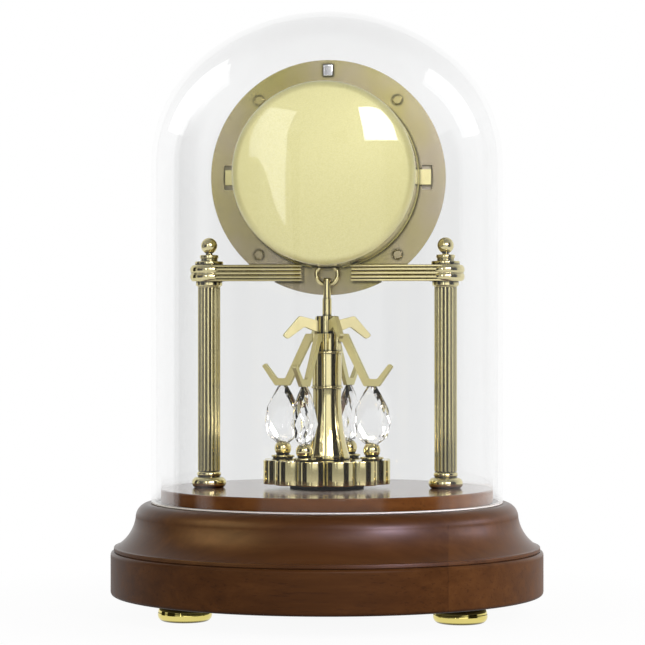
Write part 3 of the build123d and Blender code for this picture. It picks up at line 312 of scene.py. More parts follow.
# %% Walnut finish
def walnut_finish(name, level, coat, coat_roughness):
    """Brown = level times a broad figure mixed with streaks, darkened by pores and the glue line, and painted
    nearly black as shade on the faces that look down. Over it a thin coat, up to the given coat where the
    surface looks up, and more of it where that is seen edge-on."""
    glue_x, thin_coat = -0.060, 0.04
    material, wire = bench(name)
    where = wire.node("ShaderNodeTexCoord", None, None, "Object")
    x = wire.node("ShaderNodeSeparateXYZ", None, {"Vector": where}, "X")
    looks = wire.node("ShaderNodeNewGeometry", None, None, "Normal")
    up = wire.node("ShaderNodeSeparateXYZ", None, {"Vector": looks}, "Z")
    edge = wire.node("ShaderNodeLayerWeight", None, {"Blend": 0.5}, "Facing")
    past = wire.math("ABSOLUTE", x - glue_x)
    second_board = wire.math("LESS_THAN", x, glue_x)
    glue_line = wire.math("LESS_THAN", past, 0.0002)
    beside = wire.math("MAXIMUM", 1.0 - past / 0.035, 0.0) * (1.0 - second_board)
    figure = noise(wire, 16.0, (0.35, 1, 1), 3.0, 0.55, 0.8)
    straight = noise(wire, 160.0, (0.05, 1, 1), 5.0, 0.6, 0.3)
    leaning = noise(wire, 240.0, (0.05, 1, 1), 4.0, 0.6, 0.3, (0, 0.95, 0))
    streaks = straight * (1.0 - beside) + leaning * beside
    pores = noise(wire, 900.0, (0.035, 1, 1), 2.0, 0.5)
    pore_mask = wire.node("ShaderNodeValToRGB", {"stops": [(0.30, (1, 1, 1)), (0.42, (0, 0, 0))]},
                          {"Fac": pores})
    browns = np.array([(0.046, 0.0160, 0.0036), (0.069, 0.0250, 0.0056), (0.098, 0.038, 0.0094)]) * level
    tone = wire.node("ShaderNodeValToRGB", {"stops": list(zip((0.30, 0.5, 0.72), browns.tolist()))},
                     {"Fac": figure * 0.3 + streaks * 0.7 + second_board * 0.10})
    # pores and the glue line darken the wood; faces that look down get painted shade, nearly black
    dark = held(wire, pore_mask * 0.3 + glue_line * 0.25 - up)
    edge_coat = edge ** 2 * held(wire, up * 2.5) * 0.7
    shader = wire.node("ShaderNodeBsdfPrincipled", None, {
        "Base Color": blend(wire, dark, tone, (0.012, 0.004, 0.002)),
        "Roughness": streaks * 0.12 + 0.38,
        "Specular IOR Level": 0.06,
        "Coat Weight": held(wire, held(wire, up) * (coat - thin_coat) + edge_coat + thin_coat),
        "Coat Roughness": coat_roughness,
        "Normal": bump(wire, streaks - pore_mask * 0.5, 0.10, 0.0003)})
    surface(wire, shader)
    return material


walnut = walnut_finish("walnut", level=0.90, coat=0.04, coat_roughness=0.29)
# the platform is the same walnut with its brown painted lighter (level 2.2 against 0.90) as painted light from
# above, and a thicker coat
walnut_top_painted_light = walnut_finish("walnut_top_painted_light", level=2.2, coat=0.4, coat_roughness=0.14)
print("finishes:", walnut.name, walnut_top_painted_light.name)

# %% [markdown]
# ## Brass, steel and plastic
# The bright fittings are lacquered brass of a pale gold. The dial plate is the same metal left satin, which
# looks greyer. The cup is a pearl-gold lacquer over steel: fine metal flake under a hard clear coat, so
# windows show sharply in it although the colour below is soft. Screws and rods inside are plain steel.

# %% Metal finishes
polished_brass = metal("polished_brass", (0.75, 0.66, 0.34), (0.79, 0.70, 0.39), 0.04, 0.08, 9.0, lines=0.012)
satin_brass = metal("satin_brass", (0.76, 0.71, 0.38), (0.80, 0.75, 0.43), 0.50, 0.60, 30.0, lines=0.04)
# painted reflections: the ring's sharp-edged mauve and olive patches stand in for the room mirrored in it
satin_champagne = metal("satin_champagne", (0.405, 0.355, 0.125), (0.405, 0.350, 0.25), 0.16, 0.24, 26.0,
                        (1, 1, 0.6), lines=0.03, change=4.0)
gold_plate = metal("gold_plate", (0.72, 0.61, 0.17), (0.77, 0.66, 0.23), 0.03, 0.07, 30.0, lines=0.012)
satin_steel = metal("satin_steel", (0.50, 0.50, 0.49), (0.56, 0.56, 0.55), 0.24, 0.34, 60.0, lines=0.05)
bright_steel = metal("bright_steel", (0.66, 0.66, 0.67), (0.72, 0.72, 0.73), 0.06, 0.14, 60.0, lines=0.03)
copper_wire = metal("copper_wire", (0.55, 0.20, 0.09), (0.62, 0.25, 0.11), 0.22, 0.36, 300.0,
                    (1, 1, 9), lines=0.5)


def pearl_finish():
    """Pearl = a soft metallic yellow whose flakes lighten single grains, under a clear hard coat."""
    material, wire = bench("pearl_gold")
    flakes = wire.node("ShaderNodeTexVoronoi", {"feature": "F1"}, {
        "Vector": wire.node("ShaderNodeTexCoord", None, None, "Object"), "Scale": 2600.0}, "Color")
    grain = wire.node("ShaderNodeSeparateColor", None, {"Color": flakes})
    shader = wire.node("ShaderNodeBsdfPrincipled", None, {
        "Base Color": blend(wire, grain, (0.79, 0.745, 0.345), (0.87, 0.825, 0.425)),
        "Roughness": grain * 0.1 + 0.42,
        "Metallic": 0.2,
        "Coat Weight": 1.0,
        "Coat Roughness": 0.015,
        "Normal": bump(wire, grain, 0.03, 0.0002)})
    surface(wire, shader)
    return material


def moulded(name, colour, shade, rough, grain=900.0, depth=0.1):
    """Moulded plastic or lacquer: two close tones on fine noise, and a spark-eroded skin as a bump."""
    material, wire = bench(name)
    skin_noise = noise(wire, grain, (1, 1, 1), 3.0)
    shader = wire.node("ShaderNodeBsdfPrincipled", None, {
        "Base Color": blend(wire, skin_noise, colour, shade),
        "Roughness": skin_noise * 0.12 + rough,
        "Normal": bump(wire, skin_noise, depth, 0.0002)})
    surface(wire, shader)
    return material


pearl_gold = pearl_finish()
black_plastic = moulded("black_plastic", (0.016, 0.016, 0.017), (0.024, 0.024, 0.025), 0.38)
white_plastic = moulded("white_plastic", (0.62, 0.62, 0.60), (0.70, 0.70, 0.68), 0.36)
battery_sleeve = moulded("battery_sleeve", (0.10, 0.11, 0.12), (0.13, 0.14, 0.15), 0.22, 300.0, 0.03)
board_green = moulded("board_green", (0.02, 0.10, 0.05), (0.03, 0.14, 0.07), 0.3, 500.0, 0.15)
black_steel = moulded("black_steel", (0.012, 0.012, 0.013), (0.02, 0.02, 0.021), 0.25, 400.0, 0.03)
black_felt = moulded("black_felt", (0.008, 0.008, 0.009), (0.02, 0.02, 0.021), 0.85, 2600.0, 0.8)
ivory_dial = moulded("ivory_dial", (0.80, 0.75, 0.60), (0.84, 0.79, 0.65), 0.32, 700.0, 0.05)
print("finishes:", len(bpy.data.materials))

# %% [markdown]
# ## Glass
# Solid glass in a path tracer throws caustics that take very long to clear, and a real thin dome hardly bends
# what lies behind it. So the dome is a mix of clear see-through and mirror, more mirror towards its edges,
# with a trace of grey in the clear part. The cut drops are thick, so they get true refraction.

# %% Glass finishes
def dome_finish():
    """Dome = (1 - f) clear + f mirror, where f = 0.02 + 0.65 (1 - cos)^3 is nearly the Fresnel share of glass,
    the same from both sides, because the clear part doesn't bend the ray. The clear part is a little greyer low
    down and where one looks straight through; towards the edges and up on the crown it is painted lighter,
    as a painted reflection of the bright room."""
    material, wire = bench("dome_glass")
    where = wire.node("ShaderNodeTexCoord", None, None, "Object")
    z = wire.node("ShaderNodeSeparateXYZ", None, {"Vector": where}, "Z")
    grey = wire.node("ShaderNodeBsdfTransparent", None, {"Color": (0.952, 0.954, 0.954, 1)})
    white = wire.node("ShaderNodeBsdfTransparent", None, {"Color": (0.990, 0.991, 0.991, 1)})
    mirror = wire.node("ShaderNodeBsdfGlossy", None, {"Color": (1, 1, 1, 1), "Roughness": 0.004})
    edge = wire.node("ShaderNodeLayerWeight", None, {"Blend": 0.5}, "Facing")
    # painted reflection: the clear part turns whiter towards the edges and above about 0.21 m
    thin = held(wire, edge * 1.3 + held(wire, z * 14.0 - 2.9) * 0.8)
    clear = wire.node("ShaderNodeMixShader", None, {0: thin, 1: grey, 2: white})
    surface(wire, wire.node("ShaderNodeMixShader", None, {0: edge ** 3 * 0.65 + 0.02, 1: clear, 2: mirror}))
    return material


def drop_finish():
    """Drops = refraction through clear lead glass, with slightly uneven polish."""
    material, wire = bench("cut_glass")
    wisps = noise(wire, 200.0, (1, 1, 1), 2.0)
    shader = wire.node("ShaderNodeBsdfPrincipled", None, {
        "Base Color": (1, 1, 1, 1), "Roughness": wisps * 0.01, "IOR": 1.54, "Transmission Weight": 1.0})
    surface(wire, shader)
    return material


dome_glass, cut_glass = dome_finish(), drop_finish()
# partly frosted ground glass, partly a painted highlight: pale so that the dome's rim shows a bright line
ground_glass_highlight = moulded("ground_glass_highlight", (0.80, 0.82, 0.82), (0.90, 0.91, 0.91), 0.2, 400.0, 0.05)
finishes = {"walnut": walnut, "polished_brass": polished_brass, "satin_champagne": satin_champagne,
            "pearl_gold": pearl_gold, "satin_steel": satin_steel, "bright_steel": bright_steel,
            "black_steel": black_steel, "dome_glass": dome_glass, "cut_glass": cut_glass,
            "ivory_dial": ivory_dial, "black_felt": black_felt, "black_plastic": black_plastic,
            "white_plastic": white_plastic, "battery_sleeve": battery_sleeve, "board_green": board_green,
            "copper_wire": copper_wire}
print("finishes for", len(finishes), "slots")

# %% [markdown]
# ## From arrays to pieces
# Every solid first gets the finish of its slot, so that nothing is left bare. Then `piece` turns a shape into
# a mesh in metres, shades it smooth with crisp edges where faces meet at a real angle, puts it on the body
# it moves with and hides the solids it stands for.

# %% Finish the solids, and the piece maker
for part in frame["record"]["subparts"]:
    solid = frame["nodes"][part["node"]].data
    solid.materials.clear()
    solid.materials.append(finishes[part["material_slot"]])


def piece(name, shape, body, slot, stands_for=(), finish=None, crease=32.0):
    """A mesh from points in millimetres and blocks of faces, on a body, in the finish of a slot."""
    points, faces = shape
    mesh = bpy.data.meshes.new(name)
    mesh.from_pydata((points * MM).tolist(), [], [face for block in faces for face in block.tolist()])
    mesh.shade_smooth()
    mesh.set_sharp_from_angle(angle=np.radians(crease))
    mesh.materials.append(finish or finishes[slot])
    made = bpy.data.objects.new(name, mesh)
    bpy.context.collection.objects.link(made)
    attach(made, body)
    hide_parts(*stands_for)
    weigh = made.modifiers.new("flat_faces", "WEIGHTED_NORMAL")
    weigh.keep_sharp = True
    print(name, len(mesh.polygons), "faces")
    return made


# %% [markdown]
# ## The wooden base
# Three turned pieces: a plain band, an ogee moulding that hollows in to a round shoulder, and the raised
# platform inside the dome. Each is a lathe profile with its arrises taken off with sandpaper, which is what
# `soften` does. The moulding's hollow and shoulder are two arcs through three points each.

# %% Base pieces
def arc(start, through, end, steps=24):
    """Points of the circle through three points, from the first to the last."""
    (ax, ay), (bx, by), (cx, cy) = start, through, end
    d = 2 * (ax * (by - cy) + bx * (cy - ay) + cx * (ay - by))
    a2, b2, c2 = ax * ax + ay * ay, bx * bx + by * by, cx * cx + cy * cy
    middle = np.array([a2 * (by - cy) + b2 * (cy - ay) + c2 * (ay - by),
                       a2 * (cx - bx) + b2 * (ax - cx) + c2 * (bx - ax)]) / d
    turns = np.unwrap(np.arctan2(*(np.array([start, through, end]) - middle).T[::-1]))
    t = np.linspace(turns[0], turns[2], steps)
    return middle + np.linalg.norm(np.array(start) - middle) * np.stack([np.cos(t), np.sin(t)], -1)


band = soften([(0, 10), (105, 10), (105, 31), (0, 31)], 1.9, 8)
piece("base_band", turned(band, 256), "clock", "walnut", ["base_plinth"])
hollow = arc((102.4, 33.1), (96.51, 38.496), (92.9, 47.3))
shoulder = arc((92.9, 47.3), (91.204, 51.856), (87.6, 54.0))
fillet = soften([(0, 31), (103.4, 31), (103.4, 33.1), (102.4, 33.1)], 0.5)
moulding = np.vstack([fillet, hollow[1:], shoulder[1:], [(0, 54)]])
piece("base_ogee", turned(moulding, 256), "clock", "walnut", ["base_moulding"], crease=50)
raised = soften([(0, 54), (80.6, 54), (80.6, 61), (0, 61)], 1.0, 6)
piece("base_platform", turned(raised, 256), "clock", "walnut", ["platform"], finish=walnut_top_painted_light)
piece("base_felt", turned(soften([(0, 61), (18, 61), (18, 61.8), (0, 61.8)], 0.3), 96), "clock", "black_felt",
      ["felt_pad"])

# %% [markdown]
# ## Feet, columns and finials
# The feet are turned buns with a collar and a fine groove. A column is a drawn tube with sixteen reeds: its
# ring is a circle of lobes, stacked from bottom to top with a small step in at both ends. Column foot,
# capital and finial are lathe work again, softened so that every edge carries a thin line of light.

# %% Feet and columns
bun = np.vstack([[(0, 0), (8.6, 0)], arc((9.0, 0.1), (12.85, 3.7), (12.75, 4.2), 14), [(12.45, 4.4)],
                 arc((12.75, 4.6), (12.4, 5.9), (10.9, 7.7), 12),
                 soften([(10.5, 7.8), (10.5, 10), (0, 10)], 0.3)])
foot_circle = 75.1
for number, azimuth in enumerate((150, 30, 270), start=1):
    spot = (foot_circle * np.cos(np.radians(azimuth)), foot_circle * np.sin(np.radians(azimuth)), 0)
    piece(f"bun_foot_{number}", placed(turned(bun, 96), spot), "clock", "polished_brass", [f"foot_{number}"],
          finish=gold_plate)

reed_angle, reed_radius = lobed(16, 4.55, 0.95, 14)
reed_steps = np.array([(-0.3, 69.1), (-0.05, 69.3), (0, 69.6), (0, 158.0), (-0.05, 158.3), (-0.3, 158.5)])
reach = reed_radius + reed_steps[:, :1]
reeds = stacked(np.stack([reach * np.cos(reed_angle), reach * np.sin(reed_angle),
                          reed_steps[:, 1:] + 0 * reed_angle], -1), (0, 0, 69.1), (0, 0, 158.5))
foot_profile = np.vstack([[(0, 61), (6.6, 61)], arc((7.0, 61.05), (8.4, 63.5), (6.6, 66.1), 22), [(5.4, 66.3)],
                          arc((5.4, 66.5), (5.9, 67.7), (5.1, 69.0), 14), [(0, 69.1)]])
capital_profile = soften([(0, 158.5), (5.7, 158.5), (5.7, 159.3), (6.5, 159.4), (6.5, 161.4), (6.2, 161.5),
                          (0, 161.5)], 0.4)
ball_turn = np.linspace(-1.16, np.pi / 2, 28)[:-1]
ball = np.stack([4.0 * np.cos(ball_turn), 178.9 + 4.0 * np.sin(ball_turn)], -1)
nut = soften([(0, 169.5), (6.95, 169.5), (6.95, 171.3), (4.2, 171.4), (4.2, 172.7), (4.6, 172.9),
              (4.6, 174.4), (1.7, 174.6), (1.6, 175.2)], 0.45)
finial_profile = np.vstack([nut, ball, [(0, 182.9)]])
for side, x in (("left", COLUMN_X), ("right", -COLUMN_X)):
    piece(f"reeded_column_{side}", placed(reeds, (x, 0, 0)), "clock", "polished_brass", [f"column_{side}"])
    piece(f"turned_foot_{side}", placed(turned(foot_profile, 96), (x, 0, 0)), "clock", "polished_brass",
          [f"column_foot_{side}"])
    piece(f"turned_capital_{side}", placed(turned(capital_profile, 96), (x, 0, 0)), "clock", "polished_brass",
          [f"capital_{side}"])
    piece(f"turned_finial_{side}", placed(turned(finial_profile, 96), (x, 0, 0)), "clock", "polished_brass",
          [f"finial_{side}"])

# %% [markdown]
# ## Beams
# Each beam is a straight bar with a lip above and below and three beads between, and it ends in a round block
# on the column, whose edge is two full beads. The bar is a stack of rectangles, one for each (inset, height)
# of its section; the block is lathe work.

# %% Beams
def bar_rings(section):
    """Plan rectangles of the bar, one for each (inset, height): sides at 8.5 - inset, from the cut end, which
    is set in by no more than 0.3, to the column."""
    inset, height = section.T
    deep, cut, column = 8.5 - inset, 12 + np.minimum(inset, 0.3), np.full(len(inset), COLUMN_X)
    corners = [(cut, -deep, height), (column, -deep, height), (column, deep, height), (cut, deep, height)]
    return np.stack([np.stack(corner, -1) for corner in corners], 1)


bead_turn, bead_height = np.linspace(0, np.pi, 11), 1.9333
bead = np.stack([0.9 - 0.65 * np.sin(bead_turn), 162.6 + bead_height * (0.5 - 0.5 * np.cos(bead_turn))], -1)
beads = np.vstack([bead + (0, bead_height * k) for k in range(3)])
bar_section = np.vstack([soften([(1.2, 161.5), (0, 161.5), (0, 162.6), (0.9, 162.6)], 0.4), beads,
                         soften([(0.9, 168.4), (0, 168.4), (0, 169.5), (1.2, 169.5)], 0.4)])
bar = stacked(bar_rings(bar_section), (35, 0, 161.5), (35, 0, 169.5))
block_profile = np.vstack([[(0, 161.5), (7.9, 161.5)], arc((8.2, 161.55), (9.3, 163.5), (8.85, 165.4), 16),
                           arc((8.85, 165.6), (9.3, 167.5), (8.2, 169.45), 16), [(7.9, 169.5), (0, 169.5)]])
beam = joined(bar, placed(turned(block_profile, 128), (COLUMN_X, 0, 0)))
piece("reeded_beam_left", beam, "clock", "polished_brass", ["beam_left"])
piece("reeded_beam_right", placed(beam, turn=180), "clock", "polished_brass", ["beam_right"])

# %% [markdown]
# ## The rear cup
# The cup is drawn from sheet 1.2 mm thick: a wall that widens a little to a rolled rim, a round corner and
# a crowned cap, which bends the windows of the room into the two reflections of the photograph. Its section
# runs from the middle of the inside down to the rim and back up the outside. Where the eye of the pendulum
# passes, the rim is set back. Two ears hook it to the plate.

# %% Rear cup
def cup_line(inset):
    """Cap arc of radius 242.9, corner arc of radius 4.5 and a wall that widens by 1 mm to the rim, all set in
    by the inset, from cap to rim."""
    cap_turn, corner_turn = np.radians(np.linspace(89.9, 80.49, 24)), np.radians(np.linspace(80.49, 0, 14))
    cap_radius, corner_radius = 242.9 - inset, 4.5 - inset
    cap = np.stack([cap_radius * np.cos(cap_turn), cap_radius * np.sin(cap_turn) - 199.1], -1)
    corner = np.stack([39.4 + corner_radius * np.cos(corner_turn),
                       36.02 + corner_radius * np.sin(corner_turn)], -1)
    wall = np.array([(44.2, 20), (44.5, 2.2), (44.9, 1.6), (44.9, 0.4), (44.6, 0)]) - (inset, 0)
    return np.vstack([cap, corner[1:], wall])


cup_section = np.vstack([cup_line(1.2), cup_line(0.0)[::-1]])
slot_half_width, slot_depth, cup_radius = 7.2, 14.0, 43.9
slot_edge = np.degrees(np.arcsin(slot_half_width / cup_radius))
cup_angle = np.sort(np.concatenate([np.linspace(0, 360, 240, endpoint=False), [
    90 + side * slot_edge + step for side in (-1, 1) for step in (-0.02, 0.02)]]))
in_slot = np.abs(cup_angle - 90) < slot_edge
turn = np.radians(cup_angle)
deep = np.where(in_slot, np.maximum(cup_section[:, 1:], slot_depth), cup_section[:, 1:])
cup_rings = np.stack([cup_section[:, :1] * np.cos(turn), cup_section[:, :1] * np.sin(turn), deep], -1)
ears = [plate([(x, -3.75), (x + wide, -3.75), (x + wide, 3.75), (x, 3.75)], low, high, 0.15)
        for x, wide, low, high in ((43.4, 7.2, 0, 1.4), (46.6, 4, -1.9, 0.2))]
ears = ears + [placed(ear, turn=180) for ear in ears]
piece("drawn_cup", facing(stacked(cup_rings, (0, 0, 42.6), (0, 0, 43.8))), "cup", "pearl_gold",
      ["rear_cup"])
piece("cup_ears", facing(joined(*ears)), "cup", "pearl_gold", finish=satin_brass)

# %% [markdown]
# ## Rivets and clip
# Four rivets hold the dial to its plate. Their heads are the plate's own metal, so only the thin groove round
# each head tells them apart. The clip at twelve o'clock is bright spring steel with well-rounded ends.

# %% Rivets and clip
rivet_line = [(0, -3), (1.5, -3), (1.5, 0), (2.5, 0), (2.5, 0.45), (2.35, 0.6), (2.2, 0.6), (2.05, 0.4),
              (1.9, 0.6), (1.7, 0.6), (1.5, 0.6), (0, 0.6)]
rivet = facing(turned(soften(rivet_line, 0.12), 64))
rivets = [placed(rivet, (x, 0, z)) for x in (33.99, -33.99) for z in (37.89, -37.89)]
piece("rivet_heads", joined(*rivets), "clock", "satin_champagne", ["dial_posts"])
tab = plate([(-2.5, -3.0), (2.5, -3.0), (2.5, 3.0), (-2.5, 3.0)], 0, 1.0, 0.7, 6)
tongue = plate([(-1.3, -0.5), (1.3, -0.5), (1.3, 0.5), (-1.3, 0.5)], -3.0, 0.3, 0.05)
piece("spring_clip", facing(joined(tab, tongue), z=265.3), "clock", "bright_steel", ["bezel_clip"])

# %% [markdown]
# ## The glass dome
# A blown cylinder with a round shoulder and a flatter crown, 2.5 mm thick. Its section runs from the crown
# down the inside, round the ground and polished rim, and up the outside. A pale frosted ring in the rim gives
# the bright line along it: a ground rim in part, a painted highlight in part.

# %% Dome
def dome_wall(inset, steps=40):
    """Wall line at an inset from the outside: upright, shoulder arc of radius 68, crown arc of radius 94.8."""
    meet = np.arctan2(20.31, 17.5)
    shoulder_turn, crown_turn = np.linspace(0, meet, steps), np.linspace(meet, np.pi / 2, steps)[1:]
    return np.vstack([[(85.5 - inset, 55.2), (85.5 - inset, 130)],
                      np.stack([17.5 + (68 - inset) * np.cos(shoulder_turn),
                                217.8 + (68 - inset) * np.sin(shoulder_turn)], -1),
                      np.stack([(94.81 - inset) * np.cos(crown_turn),
                                197.49 + (94.81 - inset) * np.sin(crown_turn)], -1)])


rim = arc((83.0, 55.2), (84.25, 54.0), (85.5, 55.2), 12)
dome_profile = np.vstack([dome_wall(2.5)[::-1], rim[1:-1], dome_wall(0.0)])
dome_profile[[0, -1], 0] = 0.0
piece("glass_dome", turned(dome_profile, 192), "dome", "dome_glass", ["dome"], crease=70)
# partly a frosted ground rim, partly a painted highlight: a pale ring that draws the bright line
rim_section = [(83.1, 54.3), (84.25, 54.0), (85.4, 54.3), (85.4, 54.9), (83.1, 54.9)]
piece("ground_rim_highlight", ringed(rim_section, 192), "dome", "dome_glass", finish=ground_glass_highlight)

# %% [markdown]
# ## The revolving pendulum
# The plate is a ring of twelve round lobes. The bell flares to its foot. Hangers and wings are cut from sheet
# with a satin face and a softened arris, and stand on edge in slots of the hub, so their outlines are drawn
# flat, softened at the corners, and stood up along each arm.

# %% Pendulum metalwork
def loop(points, radius, steps=5):
    """Soften a closed outline, the corner at its start too."""
    p = np.asarray(points, float)
    return soften(np.vstack([p[-1:], p, p[:1]]), radius, steps)[1:-1]


def standing(shape, azimuth):
    """A flat shape stood on edge along an arm: x runs outwards, y runs up, z across the sheet."""
    points, faces = shape
    c, s = np.cos(np.radians(azimuth)), np.sin(np.radians(azimuth))
    return points @ np.array([[c, s, 0], [0, 0, 1], [s, -c, 0]]), faces


lobe_angle, lobe_radius = lobed(12, 23.55, 8.05, 18)
plate_steps = np.array([(-0.9, 63.2), (-0.25, 63.3), (0, 63.8), (0, 74.3), (-0.2, 74.85), (-0.7, 75.0)])
reach = lobe_radius + plate_steps[:, :1]
scallops = stacked(np.stack([reach * np.cos(lobe_angle), reach * np.sin(lobe_angle),
                             plate_steps[:, 1:] + 0 * lobe_angle], -1), (0, 0, 63.2), (0, 0, 75.0))
piece("scalloped_plate", placed(scallops, turn=77), "pendulum", "polished_brass", ["pendulum_plate"])
flare = arc((11.0, 76.6), (7.96, 90.418), (7.0, 109.5), 40)
bell = np.vstack([soften([(0, 75), (11, 75), (11, 76.6), (10.9, 76.8)], 0.5), flare[1:], [(0, 109.5)]])
piece("flared_bell", turned(bell, 128), "pendulum", "polished_brass", ["pendulum_bell"])

hanger_line = [(5, 136.1), (11.33, 136.1), (22.59, 114.2), (27.29, 114.2), (33.59, 121.59), (35.4, 120.19),
               (28.21, 110.6), (20.21, 110.6), (8.6, 132.15), (5, 132.0)]
wing_line = [(3, 136.1), (8.2, 137.9), (11.8, 139.4), (20.2, 133.4), (22.6, 135.2), (14.1, 144.7), (3, 141.95)]
hanger = plate(loop(hanger_line[::-1], 0.7), -1.1, 1.1, 0.22)
wing = plate(loop(wing_line, 1.0), -1.1, 1.1, 0.22)
arms = 67 + 90 * np.arange(4)
piece("hanger_plates", joined(*[standing(hanger, azimuth) for azimuth in arms]), "pendulum", "polished_brass",
      ["hangers"], finish=satin_brass)
piece("wing_plates", joined(*[standing(wing, azimuth + 45) for azimuth in arms]), "pendulum", "polished_brass",
      ["wings"], finish=satin_brass)

seat_turn = np.linspace(-0.76, np.pi / 2, 26)[:-1]
washer = soften([(0, 75), (5.0, 75), (5.0, 75.5), (5.7, 75.6), (5.7, 76.5), (3.6, 76.9), (3.0, 76.9)], 0.3)
seat = np.vstack([washer, np.stack([4.15 * np.cos(seat_turn), 79.75 + 4.15 * np.sin(seat_turn)], -1),
                  [(0, 83.9)]])
drop_circle = 24.2
spots = [(drop_circle * np.cos(np.radians(azimuth)), drop_circle * np.sin(np.radians(azimuth)), 0)
         for azimuth in arms]
piece("ball_seats", joined(*[placed(turned(seat, 64), spot) for spot in spots]), "pendulum", "polished_brass",
      ["crystal_seats"])

# %% [markdown]
# ## Cut-glass drops
# A drop is ground into flat facets. Eight points on each of six levels, every second level turned by half
# a step, give a net of triangles; holding the thickness at a limit grinds one broad table on the front and
# one on the back.

# %% Drops
def faceted(levels, columns, wide, thick, table, foot_z=82.5, tall=28.1):
    """Rings of (share of height, share of breadth), turned by half a step on every second level:
    (b wide cos a, limit(b thick sin a), z). The facets between two rings are triangles."""
    rise, breadth = np.asarray(levels, float).T[:, :, None]
    row = np.arange(len(levels))[:, None]
    a = 2 * np.pi * (np.arange(columns)[None] + 0.5 * (row % 2)) / columns
    across = np.clip(breadth * thick * np.sin(a), -table, table)
    rings = np.stack([breadth * wide * np.cos(a), across, foot_z + tall * rise + 0 * a], -1)
    points, (_, foot, head) = stacked(rings, (0, 0, foot_z), (0, 0, foot_z + tall))
    i, j = np.arange(len(levels) - 1)[:, None], np.arange(columns)[None]
    on, even = (j + 1) % columns, i % 2 == 0
    here, there = i * columns, (i + 1) * columns
    first = np.stack([here + j, np.where(even, here + on, there + on), there + j], -1)
    second = np.stack([np.where(even, there + j, here + j), here + on, there + on], -1)
    return points, [first.reshape(-1, 3), second.reshape(-1, 3), foot, head]


drop_levels = [(0.0, 0.34), (0.14, 0.82), (0.36, 1.0), (0.62, 0.86), (0.86, 0.50), (1.0, 0.24)]
drop = faceted(drop_levels, 8, wide=10.0, thick=5.4, table=3.7)
piece("cut_drops", joined(*[placed(drop, spot, azimuth) for spot, azimuth in zip(spots, arms)]), "pendulum",
      "cut_glass", ["crystals"], crease=1.0)

# %% [markdown]
# ## The dial
# The front is hidden in the photograph, so it is what such a clock has: an ivory dial with plain numbers and
# a minute track, printed in black. The numbers are set as text, made into a mesh and laid just proud of the
# dial.

# %% Dial printing
DIAL_FRONT = -11.5  # y of the dial's face


def on_dial(points, x, z):
    """Flat drawing (x, y, height) laid on the dial, which looks along -Y: (x, front - height, z + y)."""
    return points @ np.array([[1, 0, 0], [0, 0, 1], [0, -1, 0]]) + np.array([x, DIAL_FRONT, DIAL_Z + z])


def figure(text, size):
    """A number as a flat mesh of triangles, in millimetres about its own middle."""
    curve = bpy.data.curves.new("figure", "FONT")
    curve.body, curve.size, curve.extrude = text, size, 0.03
    curve.align_x, curve.align_y = "CENTER", "CENTER"
    holder = bpy.data.objects.new("figure", curve)
    mesh = bpy.data.meshes.new_from_object(holder)
    mesh.calc_loop_triangles()
    points = np.empty(len(mesh.vertices) * 3)
    corners = np.empty(len(mesh.loop_triangles) * 3, np.int32)
    mesh.vertices.foreach_get("co", points)
    mesh.loop_triangles.foreach_get("vertices", corners)
    bpy.data.objects.remove(holder)
    bpy.data.curves.remove(curve)
    bpy.data.meshes.remove(mesh)
    points = points.reshape(-1, 3)
    return points - (points.min(0) + points.max(0)) / 2 + (0, 0, 0.03), [corners.reshape(-1, 3)]


number_circle, numbers = 34.5, []
for hour in range(1, 13):
    points, faces = figure(str(hour), 9.5)
    turn = np.radians(30 * hour)
    numbers.append((on_dial(points, number_circle * np.sin(turn), number_circle * np.cos(turn)), faces))
piece("dial_numbers", joined(*numbers), "clock", "black_steel")

marks = []
for minute in range(60):
    broad, near = (0.5, 41.2) if minute % 5 == 0 else (0.2, 42.6)
    mark = placed(plate([(-broad, near), (broad, near), (broad, 44.6), (-broad, 44.6)], 0, 0.06, 0.01, 2),
                  turn=-6 * minute)
    marks.append((on_dial(mark[0], 0, 0), mark[1]))
track = ringed([(44.8, 0), (45.1, 0), (45.1, 0.06), (44.8, 0.06)], 180)
piece("dial_minute_track", joined((on_dial(track[0], 0, 0), track[1]), *marks), "clock", "black_steel")

# %% [markdown]
# ## Studio
# The photograph is a cut-out on white: a white backdrop behind the clock, and a dimmer room on the camera's
# side. Camera and glass see plain white; mirrors see the backdrop white and the room dim; the light on the
# object stays at a plain level. Bright metal needs something dark to reflect, so dark cards stand where only
# reflections see them. A pane and a bent strip give the two reflections in the crowned cup.
#
# Each group of lamps reaches only the pieces it is meant for, as a photographer shades a lamp with flags.
# Otherwise the dome would show every lamp a second time. A lamp can give light without being mirrored, or be
# mirrored without giving light: the sheens on the moulding and the arcs on the dome's shoulders are such
# mirror pictures.

# %% Floor, surroundings and lights
def seen_directly(wire):
    """Two switches: 1 for rays from the camera and through glass, and 1 for rays in mirrors. Both are 0 for
    the rays that light the object."""
    eye = wire.node("ShaderNodeLightPath", None, None, "Is Camera Ray")
    through = wire.node("ShaderNodeLightPath", None, None, "Is Transmission Ray")
    mirrored = wire.node("ShaderNodeLightPath", None, None, "Is Glossy Ray")
    return wire.math("MINIMUM", eye + through, 1.0), mirrored


def room_level(wire, direction):
    """What mirrors see: white behind the clock, half of it on the camera's side, and less overhead."""
    y = wire.node("ShaderNodeSeparateXYZ", None, {"Vector": direction}, "Y")
    z = wire.node("ShaderNodeSeparateXYZ", None, {"Vector": direction}, "Z")
    return (1.0 - held(wire, y * 1.2 + 0.5) * 0.5) * (1.0 - held(wire, z * 1.1 - 0.25) * 0.6)


